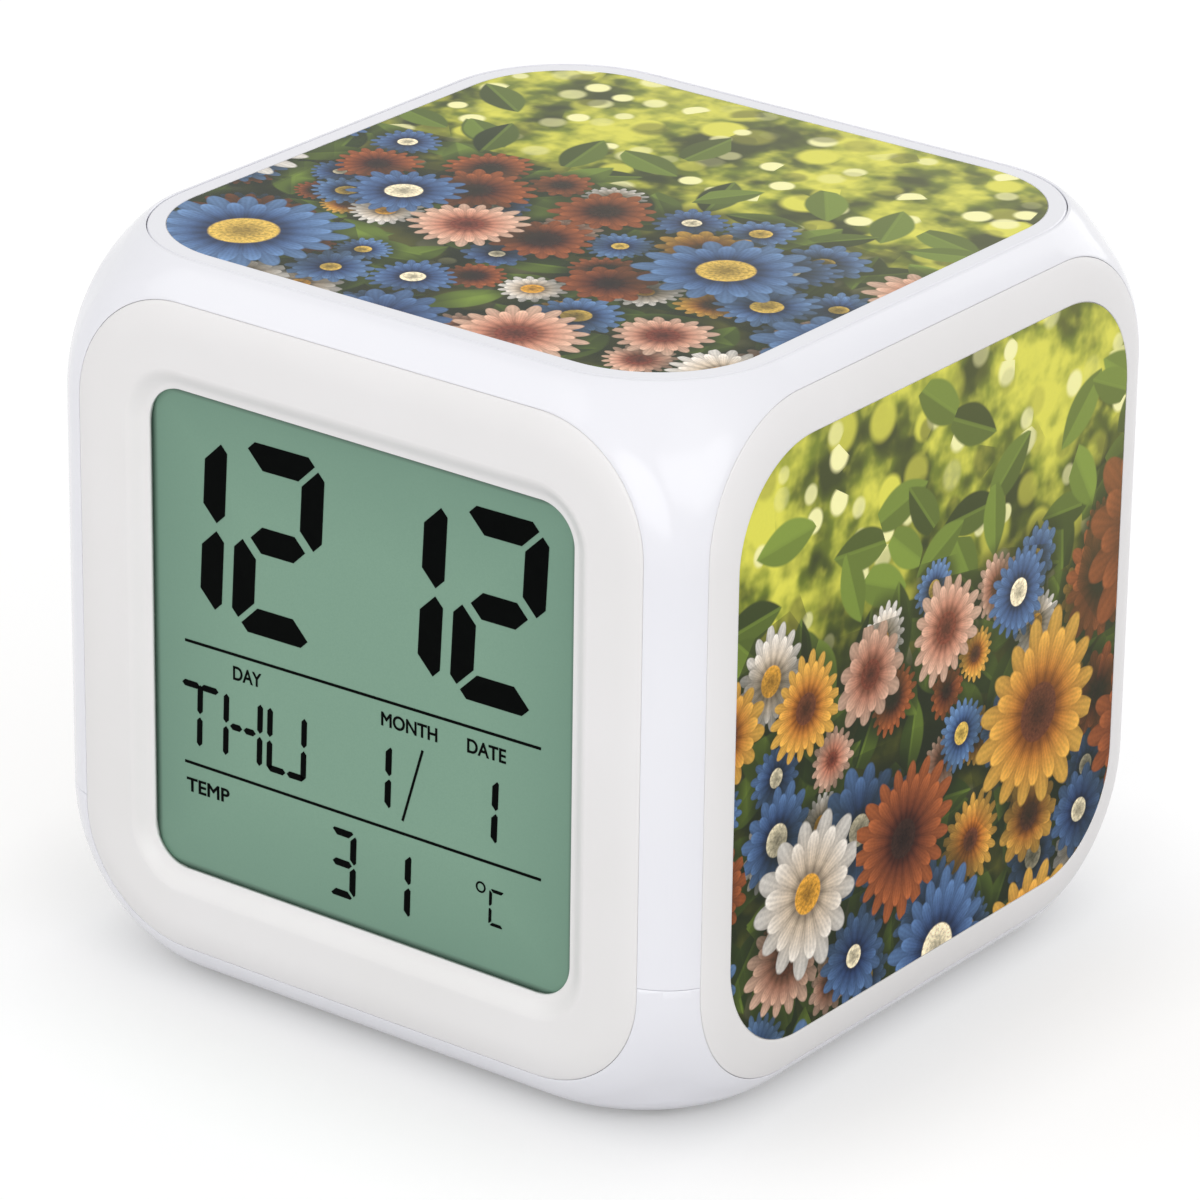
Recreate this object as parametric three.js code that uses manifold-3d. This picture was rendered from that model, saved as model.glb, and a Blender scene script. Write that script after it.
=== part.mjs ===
// Digital alarm clock: a rounded cube with a window in each face, a display in front, pictures on
// the top and sides, a sprung top plate, four rear buttons and a bay for four AAA cells.
// Millimetres, +Z up, front towards -Y, origin on the floor under the middle of the body.

import * as THREE from 'three';
import { mergeVertices } from 'three/addons/utils/BufferGeometryUtils.js';
import Module from 'manifold-3d';

const wasm = await Module();
wasm.setup();

// Body: a rounded cube whose top and base are cut flat
const cubeWidth = 80;
const cubeDepth = 80;
const cubeHeight = 77.6;
const edgeRadius = 8;
const faceCorner = 10;       // corner radius of each face's flat, in plan
const topCut = 1.3;
const baseCut = 0.5;
const footStand = 0.6;       // the feet stand this far below the base
const frameWall = 3.2;
const seamHeight = 17.9;     // level joint between the upper frame and the base frame

// Panels let into the frame from outside, crowned in front, flat behind, each on a lip
const panelWall = 1.8;       // front and rear, at the middle
const sidePanelWall = 2.8;   // thicker, because their edges lie further round the crown
const seamGap = 0.2;         // visible joint round a panel
const seatGap = 0.2;         // behind a panel, and wherever one piece rests on another
const lipWidth = 1.6;
const frontBandSide = 5.65;  // frame left beside the front and rear panels, seen square on
const frontBandLevel = 4.6;  // and above and below them
const frontPanelCorner = 12.4;
const sideBandSide = 4.2;
const sideBandLevel = 3.7;
const sidePanelCorner = 13.8;

// Pictures
const pictureThickness = 0.4;
const pictureRecess = 0.5;
const pictureSunk = 0.05;    // below the surface round it
const pictureGap = 0.15;
const sidePictureMargin = 3.5;       // panel left beside the picture
const sidePictureLevelMargin = 4.2;  // and above and below it
const sidePictureCorner = 11;
const topPictureMargin = 1.87;
const topPictureCorner = 12;

// Display
const bezelSide = 8.45;      // bezel beside the window
const bezelLevel = 8.8;      // and above and below it
const windowCorner = 4;
const windowDrop = 0.2;      // window centre below the body's middle
const dishWidth = 2.3;       // sloping band round the window
const dishDepth = 1;
const windowLip = 0.4;       // bezel left in front of the glass
const glassThickness = 2.2;
const glassLap = 1.3;        // glass hidden behind the bezel on each side
const glassTopLap = 1.9;     // and above and below
const glassCorner = 0.8;
const trayWall = 1;
const trayPlate = 1.2;
const trayClearance = 0.25;
const trayCorner = 5;
const zebraHeight = 1.6;

// Main board on four bosses of the bezel
const boardDepth = 10;       // board's front face behind the front plane
const boardThickness = 1.2;
const bossRadius = 1.9;
const bossClearance = 0.25;  // from the tray
const bossInset = 4;         // from the board's lower and upper edges
const boardMargin = 0.3;     // board left beside and above what it carries
const boardClearance = 1;    // from the columns and the feet of the plate's posts
const neckClearance = 1.5;
const chipRadius = 7;
const chipHeight = 1.7;
const ledSpread = 14;
const ledRadius = 2.5;
const ledHeight = 5.5;
const ledFlange = 2.9;
const ledFlangeThickness = 1;
const lampRise = 6.3;        // of the chip and its lamps, above the window's middle

// Top plate on four sprung posts
const plateThickness = 2;
const plateBevel = 0.35;
const plateTravel = 0.8;
const creaseLand = 0.2;      // flat left on the frame round the plate
const postInset = 12.5;      // from the body's sides
const postRadius = 1.7;
const postClearance = 0.4;
const postFootRadius = 2.5;
const postFootHeight = 1.4;
const postSlot = 0.8;
const shelfThickness = 1.5;
const shelfWidth = 13.5;
const shelfClearance = 0.75; // above the tray
const springWire = 0.5;
const springTurns = 3;
const springClearance = 0.4; // from the post to the wire
const ribThickness = 1.2;
const ribDepth = 2.2;

// Snooze switch on the main board, worked by a finger of the top plate
const snoozeWidth = 6.4;
const snoozeBodyDepth = 4.6;
const snoozeBodyHeight = 4.8;
const snoozeStemRadius = 1.6;
const snoozeStemHeight = 3;
const snoozeStemRise = 1.4;  // above its switch
const fingerRadius = 2.4;
const switchDrop = 1.4;       // below the board's top edge

// Rear buttons
const buttonCount = 4;
const buttonInset = 13.35;    // of the outer buttons, from the panel's sides
const buttonRadius = 2.9;
const buttonGap = 0.2;
const buttonBevel = 0.35;
const buttonSunk = 0.2;
const buttonTravel = 0.7;
const flangeRadius = 3.7;
const flangeThickness = 1;
const stemRadius = 1.5;
const stemClearance = 0.3;
const stemEngagement = 1.4;  // how far a stem stands in its switch
const keySwitchSize = 6;
const keySwitchDepth = 3.4;
const keyBoardDepth = 8.2;
const keyBoardThickness = 1.2;
const keyBoardHeight = 6.2;
const keyBoardRise = 2;      // above the battery box
const keyBossRadius = 2.2;
const keyBossInset = 5.35;   // from the panel's sides
const keySwitchRise = 0.6;   // above the board's lower edge

// Battery bay
const cellCount = 4;
const cellRadius = 5.25;
const cellLength = 44.5;
const cellSpacing = 0.6;
const cellCover = 1.05;      // from the door to the cells
const cellClearance = 0.4;
const nubRadius = 2;
const nubLength = 0.9;
const bayDrop = 28.1;        // doorway's lower edge, below the body's middle
const bayWall = 1.4;
const bayFloor = 1.2;
const earThickness = 1.2;
const earDrop = 6;           // the ears reach this far down the box
const contactThickness = 0.4;
const contactWidth = 8;
const contactSpringHeight = 2.55;
const contactSpringBase = 3.4;
const contactSpringTip = 2.1;
const contactSpringTurns = 2;
const contactSpringSink = 0.1;
const tailWidth = 3;
const tailLength = 1.6;
const tailClearance = 0.3;
const leadRadius = 0.7;
const leadBow = 1.5;
const leadStraight = 3;
const plusPadRise = 5;       // of the leads' ends, above the main board's lower edge
const minusPadRise = 21;

// Battery door
const doorMargin = 0.3;      // all round, in its opening
const doorCorner = 2.5;
const tongueSpread = 15;
const tongueWidth = 6;
const tongueReach = 2.1;
const tongueThickness = 1.2;
const tongueRoot = 3;
const tongueClearance = 0.3;
const catchWidth = 8;
const catchNib = 0.2;        // stands this far past the door's edge
const catchNear = 0.7;       // behind the door's face
const catchThickness = 0.7;
const catchSlot = 0.7;
const catchLength = 7;
const scoopRadius = 9;
const scoopDepth = 0.8;
const ridgeCount = 3;
const ridgePitch = 1.3;
const ridgeWidth = 0.5;

// Base
const columnRadius = 2.8;
const columnClearance = 0.4; // from the battery box
const columnInset = 11;      // from the front and the rear
const webThickness = 2;
const screwRadius = 1.1;
const screwClearance = 0.25;
const screwHeadRadius = 2.3;
const screwHeadHeight = 1.6;
const screwLength = 16;
const screwSeat = 9;         // height of the base screws' heads
const columnCap = 5;         // column left above the screws
const footInset = 7;         // from the screw columns
const footRadius = 4.5;
const footHeight = 1.5;
const footGap = 0.2;
const buzzerRadius = 11;
const buzzerHeight = 4;
const buzzerRingWall = 1.2;
const buzzerRingHeight = 3;
const soundHoleRadius = 1;
const soundHoleCircle = 5;
const soundHoleCount = 6;    // round the middle one

// Small screws of the boards
const smallScrewRadius = 0.8;
const smallHeadRadius = 1.7;
const smallHeadHeight = 1;
const pilotClearance = 0.2;
const pilotFloor = 0.8;      // left under a boss's hole, from the panel's back

const mountGap = 0.1;        // between parts soldered or pressed together
const fuse = 0.5;            // parts of one piece run this far into each other
const through = 1;           // cuts run this far past the faces they open

// Places that follow from the sizes above
const frontPanelWidth = cubeWidth - 2 * frontBandSide;
const frontPanelHeight = cubeHeight - 2 * frontBandLevel;
const windowWidth = frontPanelWidth - 2 * bezelSide;
const windowHeight = frontPanelHeight - 2 * bezelLevel;
const sidePanelWidth = cubeDepth - 2 * sideBandSide;
const sidePanelHeight = cubeHeight - 2 * sideBandLevel;
const sidePictureWidth = sidePanelWidth - 2 * sidePictureMargin;
const sidePictureHeight = sidePanelHeight - 2 * sidePictureLevelMargin;
const bodyBottom = footStand - baseCut;
const bodyMiddle = bodyBottom + cubeHeight / 2;
const topFace = bodyBottom + cubeHeight - topCut;
const floorTop = bodyBottom + frameWall;
const flatReach = Math.sqrt(edgeRadius ** 2 - (edgeRadius - topCut) ** 2);
const topOpening = cubeWidth - 2 * (edgeRadius - flatReach + creaseLand);
const topOpeningDepth = cubeDepth - 2 * (edgeRadius - flatReach + creaseLand);
const topOpeningCorner = faceCorner + flatReach - creaseLand;
const topPlateWidth = topOpening - 2 * seamGap;
const topPlateDepth = topOpeningDepth - 2 * seamGap;
const topPictureWidth = topPlateWidth - 2 * topPictureMargin;
const topPictureDepth = topPlateDepth - 2 * topPictureMargin;
const webInset = 0.75 * frameWall;           // webs end inside the frame's wall
const shelfInset = sidePanelWall + seatGap;  // shelves end clear of the side panels

const windowMiddle = bodyMiddle - windowDrop;
const glassDepth = dishDepth + windowLip + mountGap;
const glassBack = glassDepth + glassThickness;
const glassWidth = windowWidth + 2 * glassLap;
const glassHeight = windowHeight + 2 * glassTopLap;
const trayOuterHeight = glassHeight + 2 * (trayClearance + trayWall);
const trayOuterWidth = glassWidth + 2 * (trayClearance + trayWall);
const shelfBottom = windowMiddle + trayOuterHeight / 2 + shelfClearance;
const shelfTop = shelfBottom + shelfThickness;
const postFootTop = shelfBottom - seatGap;
const postFootEnd = postFootTop - postFootHeight;

const postSpread = [cubeWidth / 2 - postInset, cubeDepth / 2 - postInset];
const columnTop = screwSeat + screwLength + columnCap;
const bossSpread = trayOuterWidth / 2 + bossClearance + bossRadius;
const boardWidth = 2 * (bossSpread + bossRadius + boardMargin);
const boardBottom = columnTop + boardClearance;
const boardShoulder = postFootEnd - plateTravel - boardClearance;
const boardNeckWidth = 2 * (postSpread[0] - postFootRadius - neckClearance);
const boardBack = boardDepth + boardThickness + mountGap;
const bossEnd = boardDepth - seatGap;
const zebraWidth = boardNeckWidth - 2 * zebraHeight;
const zebraMiddle = windowMiddle + windowHeight / 2 + glassTopLap / 2;
const boardTop = zebraMiddle + zebraHeight / 2 + boardMargin;
const lampHeight = windowMiddle + lampRise;
const switchTop = boardTop - switchDrop;

const cellPitch = 2 * cellRadius + cellSpacing;
const cellDepth = panelWall + cellCover + cellRadius;
const bayHeight = (cellCount - 1) * cellPitch + 2 * (cellRadius + cellClearance);
const bayBottom = bodyMiddle - bayDrop;
const bayTop = bayBottom + bayHeight;
const bayMiddle = bayBottom + bayHeight / 2;
const bayDepth = cellDepth + cellRadius + cellClearance;
const bayEnd = bayDepth + bayFloor;
const springRoom = contactSpringHeight - contactSpringSink + springWire / 2 + seatGap;
const contactInner = (cellLength + mountGap + springRoom + mountGap) / 2;
const contactMiddle = contactInner + contactThickness / 2;
const nubTip = contactInner - 2 * mountGap;
const bayHalfWidth = contactInner + contactThickness + seatGap;
const boxHalfWidth = bayHalfWidth + bayWall;

const columnSpread = [boxHalfWidth + columnClearance + columnRadius, cubeDepth / 2 - columnInset];
const footSpread = columnSpread.map((spread) => spread - footInset);
const keyBoardBottom = bayTop + bayWall + keyBoardRise;
const keyBossSpread = frontPanelWidth / 2 - keyBossInset;
const keyBossHeight = keyBoardBottom + keyBossRadius;
const keyBoardWidth = 2 * (keyBossSpread + keyBossRadius);
const buttonHeight = keyBoardBottom + keySwitchRise + keySwitchSize / 2;
const switchFace = keyBoardDepth - mountGap - keySwitchDepth;
const stemDepth = switchFace + stemEngagement;
const earDepth = keyBoardDepth - seatGap - earThickness;

// Frames of the six faces: local z points out of the face, local y points up
const faces = {
  front: faceFrame([1, 0, 0], [0, 0, 1], [0, -cubeDepth / 2, bodyMiddle]),
  rear: faceFrame([-1, 0, 0], [0, 0, 1], [0, cubeDepth / 2, bodyMiddle]),
  right: faceFrame([0, 1, 0], [0, 0, 1], [cubeWidth / 2, 0, bodyMiddle]),
  left: faceFrame([0, -1, 0], [0, 0, 1], [-cubeWidth / 2, 0, bodyMiddle]),
  top: faceFrame([1, 0, 0], [0, 1, 0], [0, 0, topFace]),
  base: faceFrame([1, 0, 0], [0, -1, 0], [0, 0, footStand]),
};

const finishes = {
  frame: finish(0xf0f1f6, 0.22),
  panel: finish(0xe8e7e4, 0.35),
  display: finish(0x7fa08c, 0.45),
  picture: finish(0x8a9a4a, 0.3),
  white: finish(0xf2f2f0, 0.6),
  rubber: finish(0x3a3a3c, 0.8),
  board: finish(0x2f6b45, 0.5),
  black: finish(0x1c1c1e, 0.5),
  steel: finish(0xb9bcc0, 0.35, 0.9),
  cell: finish(0x4d5560, 0.4, 0.3),
  lens: finish(0xf4f6f8, 0.1),
  red: finish(0xb02a28, 0.6),
};

const clock = new THREE.Group();
clock.name = 'alarm_clock';

function finish(color, roughness, metalness = 0) {
  return new THREE.MeshStandardMaterial({ color, roughness, metalness });
}

function faceFrame(across, up, origin) {
  const x = new THREE.Vector3(...across);
  const y = new THREE.Vector3(...up);
  const matrix = new THREE.Matrix4().makeBasis(x, y, x.clone().cross(y));
  return matrix.setPosition(...origin);
}

// Conversion between three.js geometry and solids that can be joined and cut

function solid(geometry, matrix = new THREE.Matrix4()) {
  const placed = geometry.clone().applyMatrix4(matrix);
  placed.deleteAttribute('normal');
  placed.deleteAttribute('uv');
  const merged = mergeVertices(placed, 1e-4);
  const vertProperties = new Float32Array(merged.attributes.position.array);
  const triVerts = new Uint32Array(merged.index.array);
  return new wasm.Manifold(new wasm.Mesh({ numProp: 3, vertProperties, triVerts }));
}

function geometryOf(shape) {
  const mesh = shape.getMesh();
  const geometry = new THREE.BufferGeometry();
  geometry.setAttribute('position', new THREE.BufferAttribute(mesh.vertProperties, 3));
  geometry.setIndex(new THREE.BufferAttribute(mesh.triVerts, 1));
  const flat = geometry.toNonIndexed();
  flat.computeVertexNormals();
  return flat;
}

function join(...shapes) {
  return shapes.reduce((sum, shape) => sum.add(shape));
}

function cut(shape, ...tools) {
  return tools.reduce((rest, tool) => rest.subtract(tool), shape);
}

function addPiece(name, shape, material) {
  const mesh = new THREE.Mesh(geometryOf(shape), material);
  mesh.name = name;
  clock.add(mesh);
  return mesh;
}

// Rounded body: on each face the lines of equal slope are rounded rectangles, from the flat out
// to the middle of the edges, so the joints round the panels run at one slope

const core = [cubeWidth / 2 - edgeRadius, cubeDepth / 2 - edgeRadius, cubeHeight / 2 - edgeRadius];

function cornerPoint(signs, normal, first, turn, slope, radius) {
  const second = 3 - normal - first;
  const reach = faceCorner + radius * Math.sin(slope);
  const point = [0, 0, 0];
  point[normal] = signs[normal] * (core[normal] + radius * Math.cos(slope));
  point[first] = signs[first] * (core[first] - faceCorner + reach * Math.cos(turn));
  point[second] = signs[second] * (core[second] - faceCorner + reach * Math.sin(turn));
  return [point[0], point[1], point[2] + bodyMiddle];
}

function edgeSlope(turn) {
  return Math.atan(1 / Math.max(Math.cos(turn), Math.sin(turn)));
}

function roundedBody(inset, turnSteps, slopeSteps) {
  const radius = edgeRadius - inset;
  const positions = [];
  const middle = new THREE.Vector3(0, 0, bodyMiddle);
  const [a, b, c, normal] = [0, 1, 2, 3].map(() => new THREE.Vector3());
  const triangle = (...points) => {
    a.fromArray(points[0]);
    b.fromArray(points[1]);
    c.fromArray(points[2]);
    normal.crossVectors(b.clone().sub(a), c.clone().sub(a));
    if (normal.lengthSq() < 1e-10) return;
    const outward = normal.dot(a.clone().sub(middle)) > 0;
    const order = outward ? [a, b, c] : [a, c, b];
    order.forEach((corner) => positions.push(corner.x, corner.y, corner.z));
  };
  const quad = (p, q, r, s) => {
    triangle(p, q, r);
    triangle(p, r, s);
  };
  for (let axis = 0; axis < 3; axis++) {
    for (const sign of [-1, 1]) addFace(axis, sign, radius, turnSteps, slopeSteps, triangle, quad);
  }
  for (const signs of cornerSigns()) addCorner(signs, radius, turnSteps, triangle, quad);
  const geometry = new THREE.BufferGeometry();
  geometry.setAttribute('position', new THREE.Float32BufferAttribute(positions, 3));
  return solid(geometry);
}

function cornerSigns() {
  const both = [-1, 1];
  return both.flatMap((x) => both.flatMap((y) => both.map((z) => [x, y, z])));
}

// One face: the flat, then rings of growing slope
function addFace(axis, sign, radius, turnSteps, slopeSteps, triangle, quad) {
  const [across, up] = [(axis + 1) % 3, (axis + 2) % 3];
  const columns = [];
  for (const [signAcross, signUp] of [[1, 1], [-1, 1], [-1, -1], [1, -1]]) {
    const signs = [0, 0, 0];
    signs[axis] = sign;
    signs[across] = signAcross;
    signs[up] = signUp;
    const reversed = signAcross * signUp < 0;
    for (let step = 0; step <= turnSteps; step++) {
      const share = (reversed ? turnSteps - step : step) / turnSteps;
      columns.push({ signs, turn: share * Math.PI / 2 });
    }
  }
  const point = ({ signs, turn }, ring) => {
    const slope = edgeSlope(turn) * ring / slopeSteps;
    return cornerPoint(signs, axis, across, turn, slope, radius);
  };
  const hub = [0, 0, bodyMiddle];
  hub[axis] += sign * (core[axis] + radius);
  columns.forEach((column, index) => {
    const next = columns[(index + 1) % columns.length];
    triangle(hub, point(column, 0), point(next, 0));
    for (let ring = 0; ring < slopeSteps; ring++) {
      quad(point(column, ring), point(next, ring), point(next, ring + 1), point(column, ring + 1));
    }
  });
}

// One corner: three ruled strips between the faces and the small triangle they leave
function addCorner(signs, radius, turnSteps, triangle, quad) {
  const half = turnSteps / 2;
  const rim = (normal, first, step) => {
    const turn = step / turnSteps * Math.PI / 2;
    return cornerPoint(signs, normal, first, turn, edgeSlope(turn), radius);
  };
  for (const [first, second] of [[0, 1], [1, 2], [2, 0]]) {
    for (let step = 0; step < half; step++) {
      quad(
        rim(first, second, step), rim(first, second, step + 1),
        rim(second, first, step + 1), rim(second, first, step),
      );
    }
  }
  triangle(rim(0, 1, half), rim(1, 2, half), rim(2, 0, half));
}

// Shapes on a face: near and far are depths behind the face, negative outside it

function roundedRect(width, height, corner) {
  const [x, y] = [width / 2 - corner, height / 2 - corner];
  const shape = new THREE.Shape();
  shape.absarc(x, y, corner, 0, Math.PI / 2);
  shape.absarc(-x, y, corner, Math.PI / 2, Math.PI);
  shape.absarc(-x, -y, corner, Math.PI, 1.5 * Math.PI);
  shape.absarc(x, -y, corner, 1.5 * Math.PI, 2 * Math.PI);
  return shape;
}

function slab(face, shape, near, far, shift = [0, 0], curveSegments = 3) {
  const geometry = new THREE.ExtrudeGeometry(shape, {
    depth: far - near, bevelEnabled: false, curveSegments,
  });
  geometry.translate(shift[0], shift[1], -far);
  return solid(geometry, faces[face]);
}

function rod(face, x, y, radius, near, far, sides = 16) {
  const geometry = new THREE.CylinderGeometry(radius, radius, far - near, sides);
  geometry.rotateX(Math.PI / 2);
  geometry.translate(x, y, -(near + far) / 2);
  return solid(geometry, faces[face]);
}

function block(face, x, y, width, height, near, far) {
  const geometry = new THREE.BoxGeometry(width, height, far - near);
  geometry.translate(x, y, -(near + far) / 2);
  return solid(geometry, faces[face]);
}

// Solid between rounded rectangles of changing size, given as [width, height, corner, depth]
function loft(face, sections, shift = [0, 0], arcSteps = 6) {
  const rings = sections.map(([width, height, corner, depth]) => {
    const outline = roundedRect(width, height, corner).extractPoints(arcSteps / 2).shape;
    return outline.map((point) => [point.x + shift[0], point.y + shift[1], -depth]);
  });
  const count = rings[0].length;
  const positions = [];
  const face3 = (p, q, r) => positions.push(...p, ...q, ...r);
  for (let level = 0; level + 1 < rings.length; level++) {
    for (let index = 0; index < count; index++) {
      const next = (index + 1) % count;
      const [low, high] = [rings[level], rings[level + 1]];
      face3(low[index], high[index], high[next]);
      face3(low[index], high[next], low[next]);
    }
  }
  const [first, last] = [rings[0], rings[rings.length - 1]];
  for (let index = 1; index + 1 < count; index++) {
    face3(first[0], first[index], first[index + 1]);
    face3(last[0], last[index + 1], last[index]);
  }
  const geometry = new THREE.BufferGeometry();
  geometry.setAttribute('position', new THREE.Float32BufferAttribute(positions, 3));
  return solid(geometry, faces[face]);
}

function lathe(profile, sides = 16) {
  const points = profile.map(([radius, height]) => new THREE.Vector2(radius, height));
  const geometry = new THREE.LatheGeometry(points, sides);
  geometry.rotateX(Math.PI / 2);
  return solid(geometry);
}

// Height above the body's middle, the local y of the upright faces
const above = (height) => height - bodyMiddle;

// Everything between two heights
function layer(low, high) {
  const geometry = new THREE.BoxGeometry(2 * cubeWidth, 2 * cubeDepth, high - low);
  geometry.translate(0, 0, (low + high) / 2);
  return solid(geometry);
}

const outerBody = roundedBody(0, 6, 3);
const innerBody = roundedBody(frameWall, 4, 1);

// Frame

const frontOutline = [frontPanelWidth, frontPanelHeight, frontPanelCorner];
const sideOutline = [sidePanelWidth, sidePanelHeight, sidePanelCorner];
const panels = {
  front: { outline: frontOutline, wall: panelWall },
  rear: { outline: frontOutline, wall: panelWall },
  right: { outline: sideOutline, wall: sidePanelWall },
  left: { outline: sideOutline, wall: sidePanelWall },
};

function shrunk([width, height, corner], by) {
  return roundedRect(width - 2 * by, height - 2 * by, corner - by);
}

function frameShell() {
  let shell = outerBody.intersect(layer(footStand, topFace)).subtract(innerBody);
  for (const [face, { outline, wall }] of Object.entries(panels)) {
    const rebate = slab(face, shrunk(outline, 0), -through, wall + seatGap);
    const opening = slab(face, shrunk(outline, lipWidth), 0, edgeRadius, [0, 0], 2);
    shell = cut(shell, rebate, opening);
  }
  const hatch = roundedRect(topOpening, topOpeningDepth, topOpeningCorner);
  return shell.subtract(slab('top', hatch, -through, edgeRadius));
}

// Four places, one in each quarter of the plan
function quarters([x, y]) {
  return [[x, y], [-x, y], [-x, -y], [x, -y]];
}

// Screw columns, each with a web that ties it to the upright corner of the frame
function columns(low, high) {
  const webLow = Math.max(low, bodyBottom + edgeRadius);
  const wallReach = (edgeRadius - webInset) / Math.SQRT2 - edgeRadius;
  const [reachX, reachY] = [cubeWidth / 2 + wallReach, cubeDepth / 2 + wallReach];
  const parts = quarters(columnSpread).map(([x, y]) => {
    const [toX, toY] = [Math.sign(x) * reachX - x, Math.sign(y) * reachY - y];
    const length = Math.hypot(toX, toY);
    const web = new THREE.BoxGeometry(length, webThickness, high - webLow);
    web.translate(length / 2, 0, (webLow + high) / 2);
    web.rotateZ(Math.atan2(toY, toX));
    web.translate(x, y, 0);
    const post = rod('top', x, y, columnRadius, topFace - high, topFace - low, 12);
    return solid(web).add(post);
  });
  return join(...parts);
}

// Shelves in the four top corners: the plate's posts slide in them and its springs stand on them
function shelves() {
  const shape = roundedRect(shelfWidth, shelfWidth, edgeRadius - shelfInset);
  const [near, far] = [topFace - shelfTop, topFace - shelfBottom];
  const reach = shelfInset + shelfWidth / 2;
  const middles = quarters([cubeWidth / 2 - reach, cubeDepth / 2 - reach]);
  const holes = quarters(postSpread).map(([x, y]) => rod(
    'top', x, y, postRadius + postClearance, near - through, far + through, 12,
  ));
  return cut(join(...middles.map((middle) => slab('top', shape, near, far, middle, 1))), ...holes);
}

function screwHoles(radius, low, high) {
  const holes = quarters(columnSpread).map(([x, y]) => rod(
    'top', x, y, radius, topFace - high, topFace - low, 8,
  ));
  return join(...holes);
}

function upperFrame(shell) {
  const joint = seamHeight + seamGap / 2;
  const bare = shell.intersect(layer(joint, topFace + through));
  const inside = join(columns(joint, columnTop), shelves());
  const pilot = screwHoles(screwRadius + screwClearance, joint - through,
    screwSeat + screwLength + through);
  return bare.add(inside).subtract(pilot);
}

function baseFrame(shell) {
  const joint = seamHeight - seamGap / 2;
  const bare = shell.intersect(layer(0, joint));
  const ringBore = rod('top', 0, 0, buzzerRadius + seatGap,
    topFace - floorTop - buzzerRingHeight - through, topFace - floorTop, 20);
  const ring = rod('top', 0, 0, buzzerRadius + seatGap + buzzerRingWall,
    topFace - floorTop - buzzerRingHeight, topFace - floorTop + fuse, 20);
  return cut(
    join(bare, columns(floorTop - fuse, joint), ring.subtract(ringBore)),
    screwHoles(screwRadius + screwClearance, 0, joint + through),
    screwHoles(screwHeadRadius + screwClearance, 0, screwSeat),
    footRecesses(),
    soundHoles(),
  );
}

function footRecesses() {
  const recess = ([x, y]) => rod('base', x, y, footRadius + footGap, -through,
    footHeight + footGap - footStand, 16);
  return join(...quarters(footSpread).map(recess));
}

function soundHoles() {
  const places = [[0, 0]];
  for (let index = 0; index < soundHoleCount; index++) {
    const turn = index / soundHoleCount * 2 * Math.PI;
    places.push([soundHoleCircle * Math.cos(turn), soundHoleCircle * Math.sin(turn)]);
  }
  const hole = ([x, y]) => rod('base', x, y, soundHoleRadius, -through, frameWall + through, 8);
  return join(...places.map(hole));
}

// Panels

function panelShell(face) {
  const { outline, wall } = panels[face];
  return outerBody.intersect(slab(face, shrunk(outline, seamGap), -through, wall));
}

function sidePanel(face) {
  const recess = roundedRect(
    sidePictureWidth + 2 * pictureGap, sidePictureHeight + 2 * pictureGap,
    sidePictureCorner + pictureGap,
  );
  return panelShell(face).subtract(slab(face, recess, -through, pictureRecess));
}

function sidePicture(face) {
  const shape = roundedRect(sidePictureWidth, sidePictureHeight, sidePictureCorner);
  return slab(face, shape, pictureSunk, pictureSunk + pictureThickness);
}

function frontBezel() {
  const shift = [0, above(windowMiddle)];
  const dish = (share, depth) => {
    const grow = dishWidth * share;
    return [windowWidth + 2 * grow, windowHeight + 2 * grow, windowCorner + grow, depth];
  };
  const sections = [
    dish(1, -through), dish(1, 0), dish(0.72, dishDepth * 0.2), dish(0.28, dishDepth * 0.8),
    dish(0, dishDepth), dish(0, panelWall + through),
  ];
  const pocketWidth = glassWidth + 2 * trayClearance;
  const pocketHeight = glassHeight + 2 * trayClearance;
  const pocket = roundedRect(pocketWidth, pocketHeight, glassCorner);
  return cut(
    join(panelShell('front'), bosses('front', bossPlaces, bossRadius, bossEnd)),
    loft('front', sections, shift),
    slab('front', pocket, dishDepth + windowLip, panelWall + through, shift, 1),
    pilots('front', bossPlaces, panelWall + pilotFloor, bossEnd),
  );
}

// Bosses behind a panel, and the screw holes in them and in what they carry

const bossPlaces = [[1, boardBottom], [-1, boardBottom], [1, boardShoulder], [-1, boardShoulder]]
  .map(([side, edge]) => [side * bossSpread, edge + Math.sign(bodyMiddle - edge) * bossInset]);
const keyBossPlaces = [-1, 1].map((side) => [side * keyBossSpread, keyBossHeight]);

function bosses(face, places, radius, end) {
  const boss = ([x, height]) => rod(face, x, above(height), radius, panelWall - fuse, end, 14);
  return join(...places.map(boss));
}

function pilots(face, places, near, far) {
  const radius = smallScrewRadius + pilotClearance;
  const hole = ([x, height]) => rod(face, x, above(height), radius, near, far + through, 10);
  return join(...places.map(hole));
}

// Display stack behind the bezel

function lcdGlass() {
  const shape = roundedRect(glassWidth, glassHeight, glassCorner);
  return slab('front', shape, glassDepth, glassBack, [0, above(windowMiddle)], 1);
}

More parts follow.
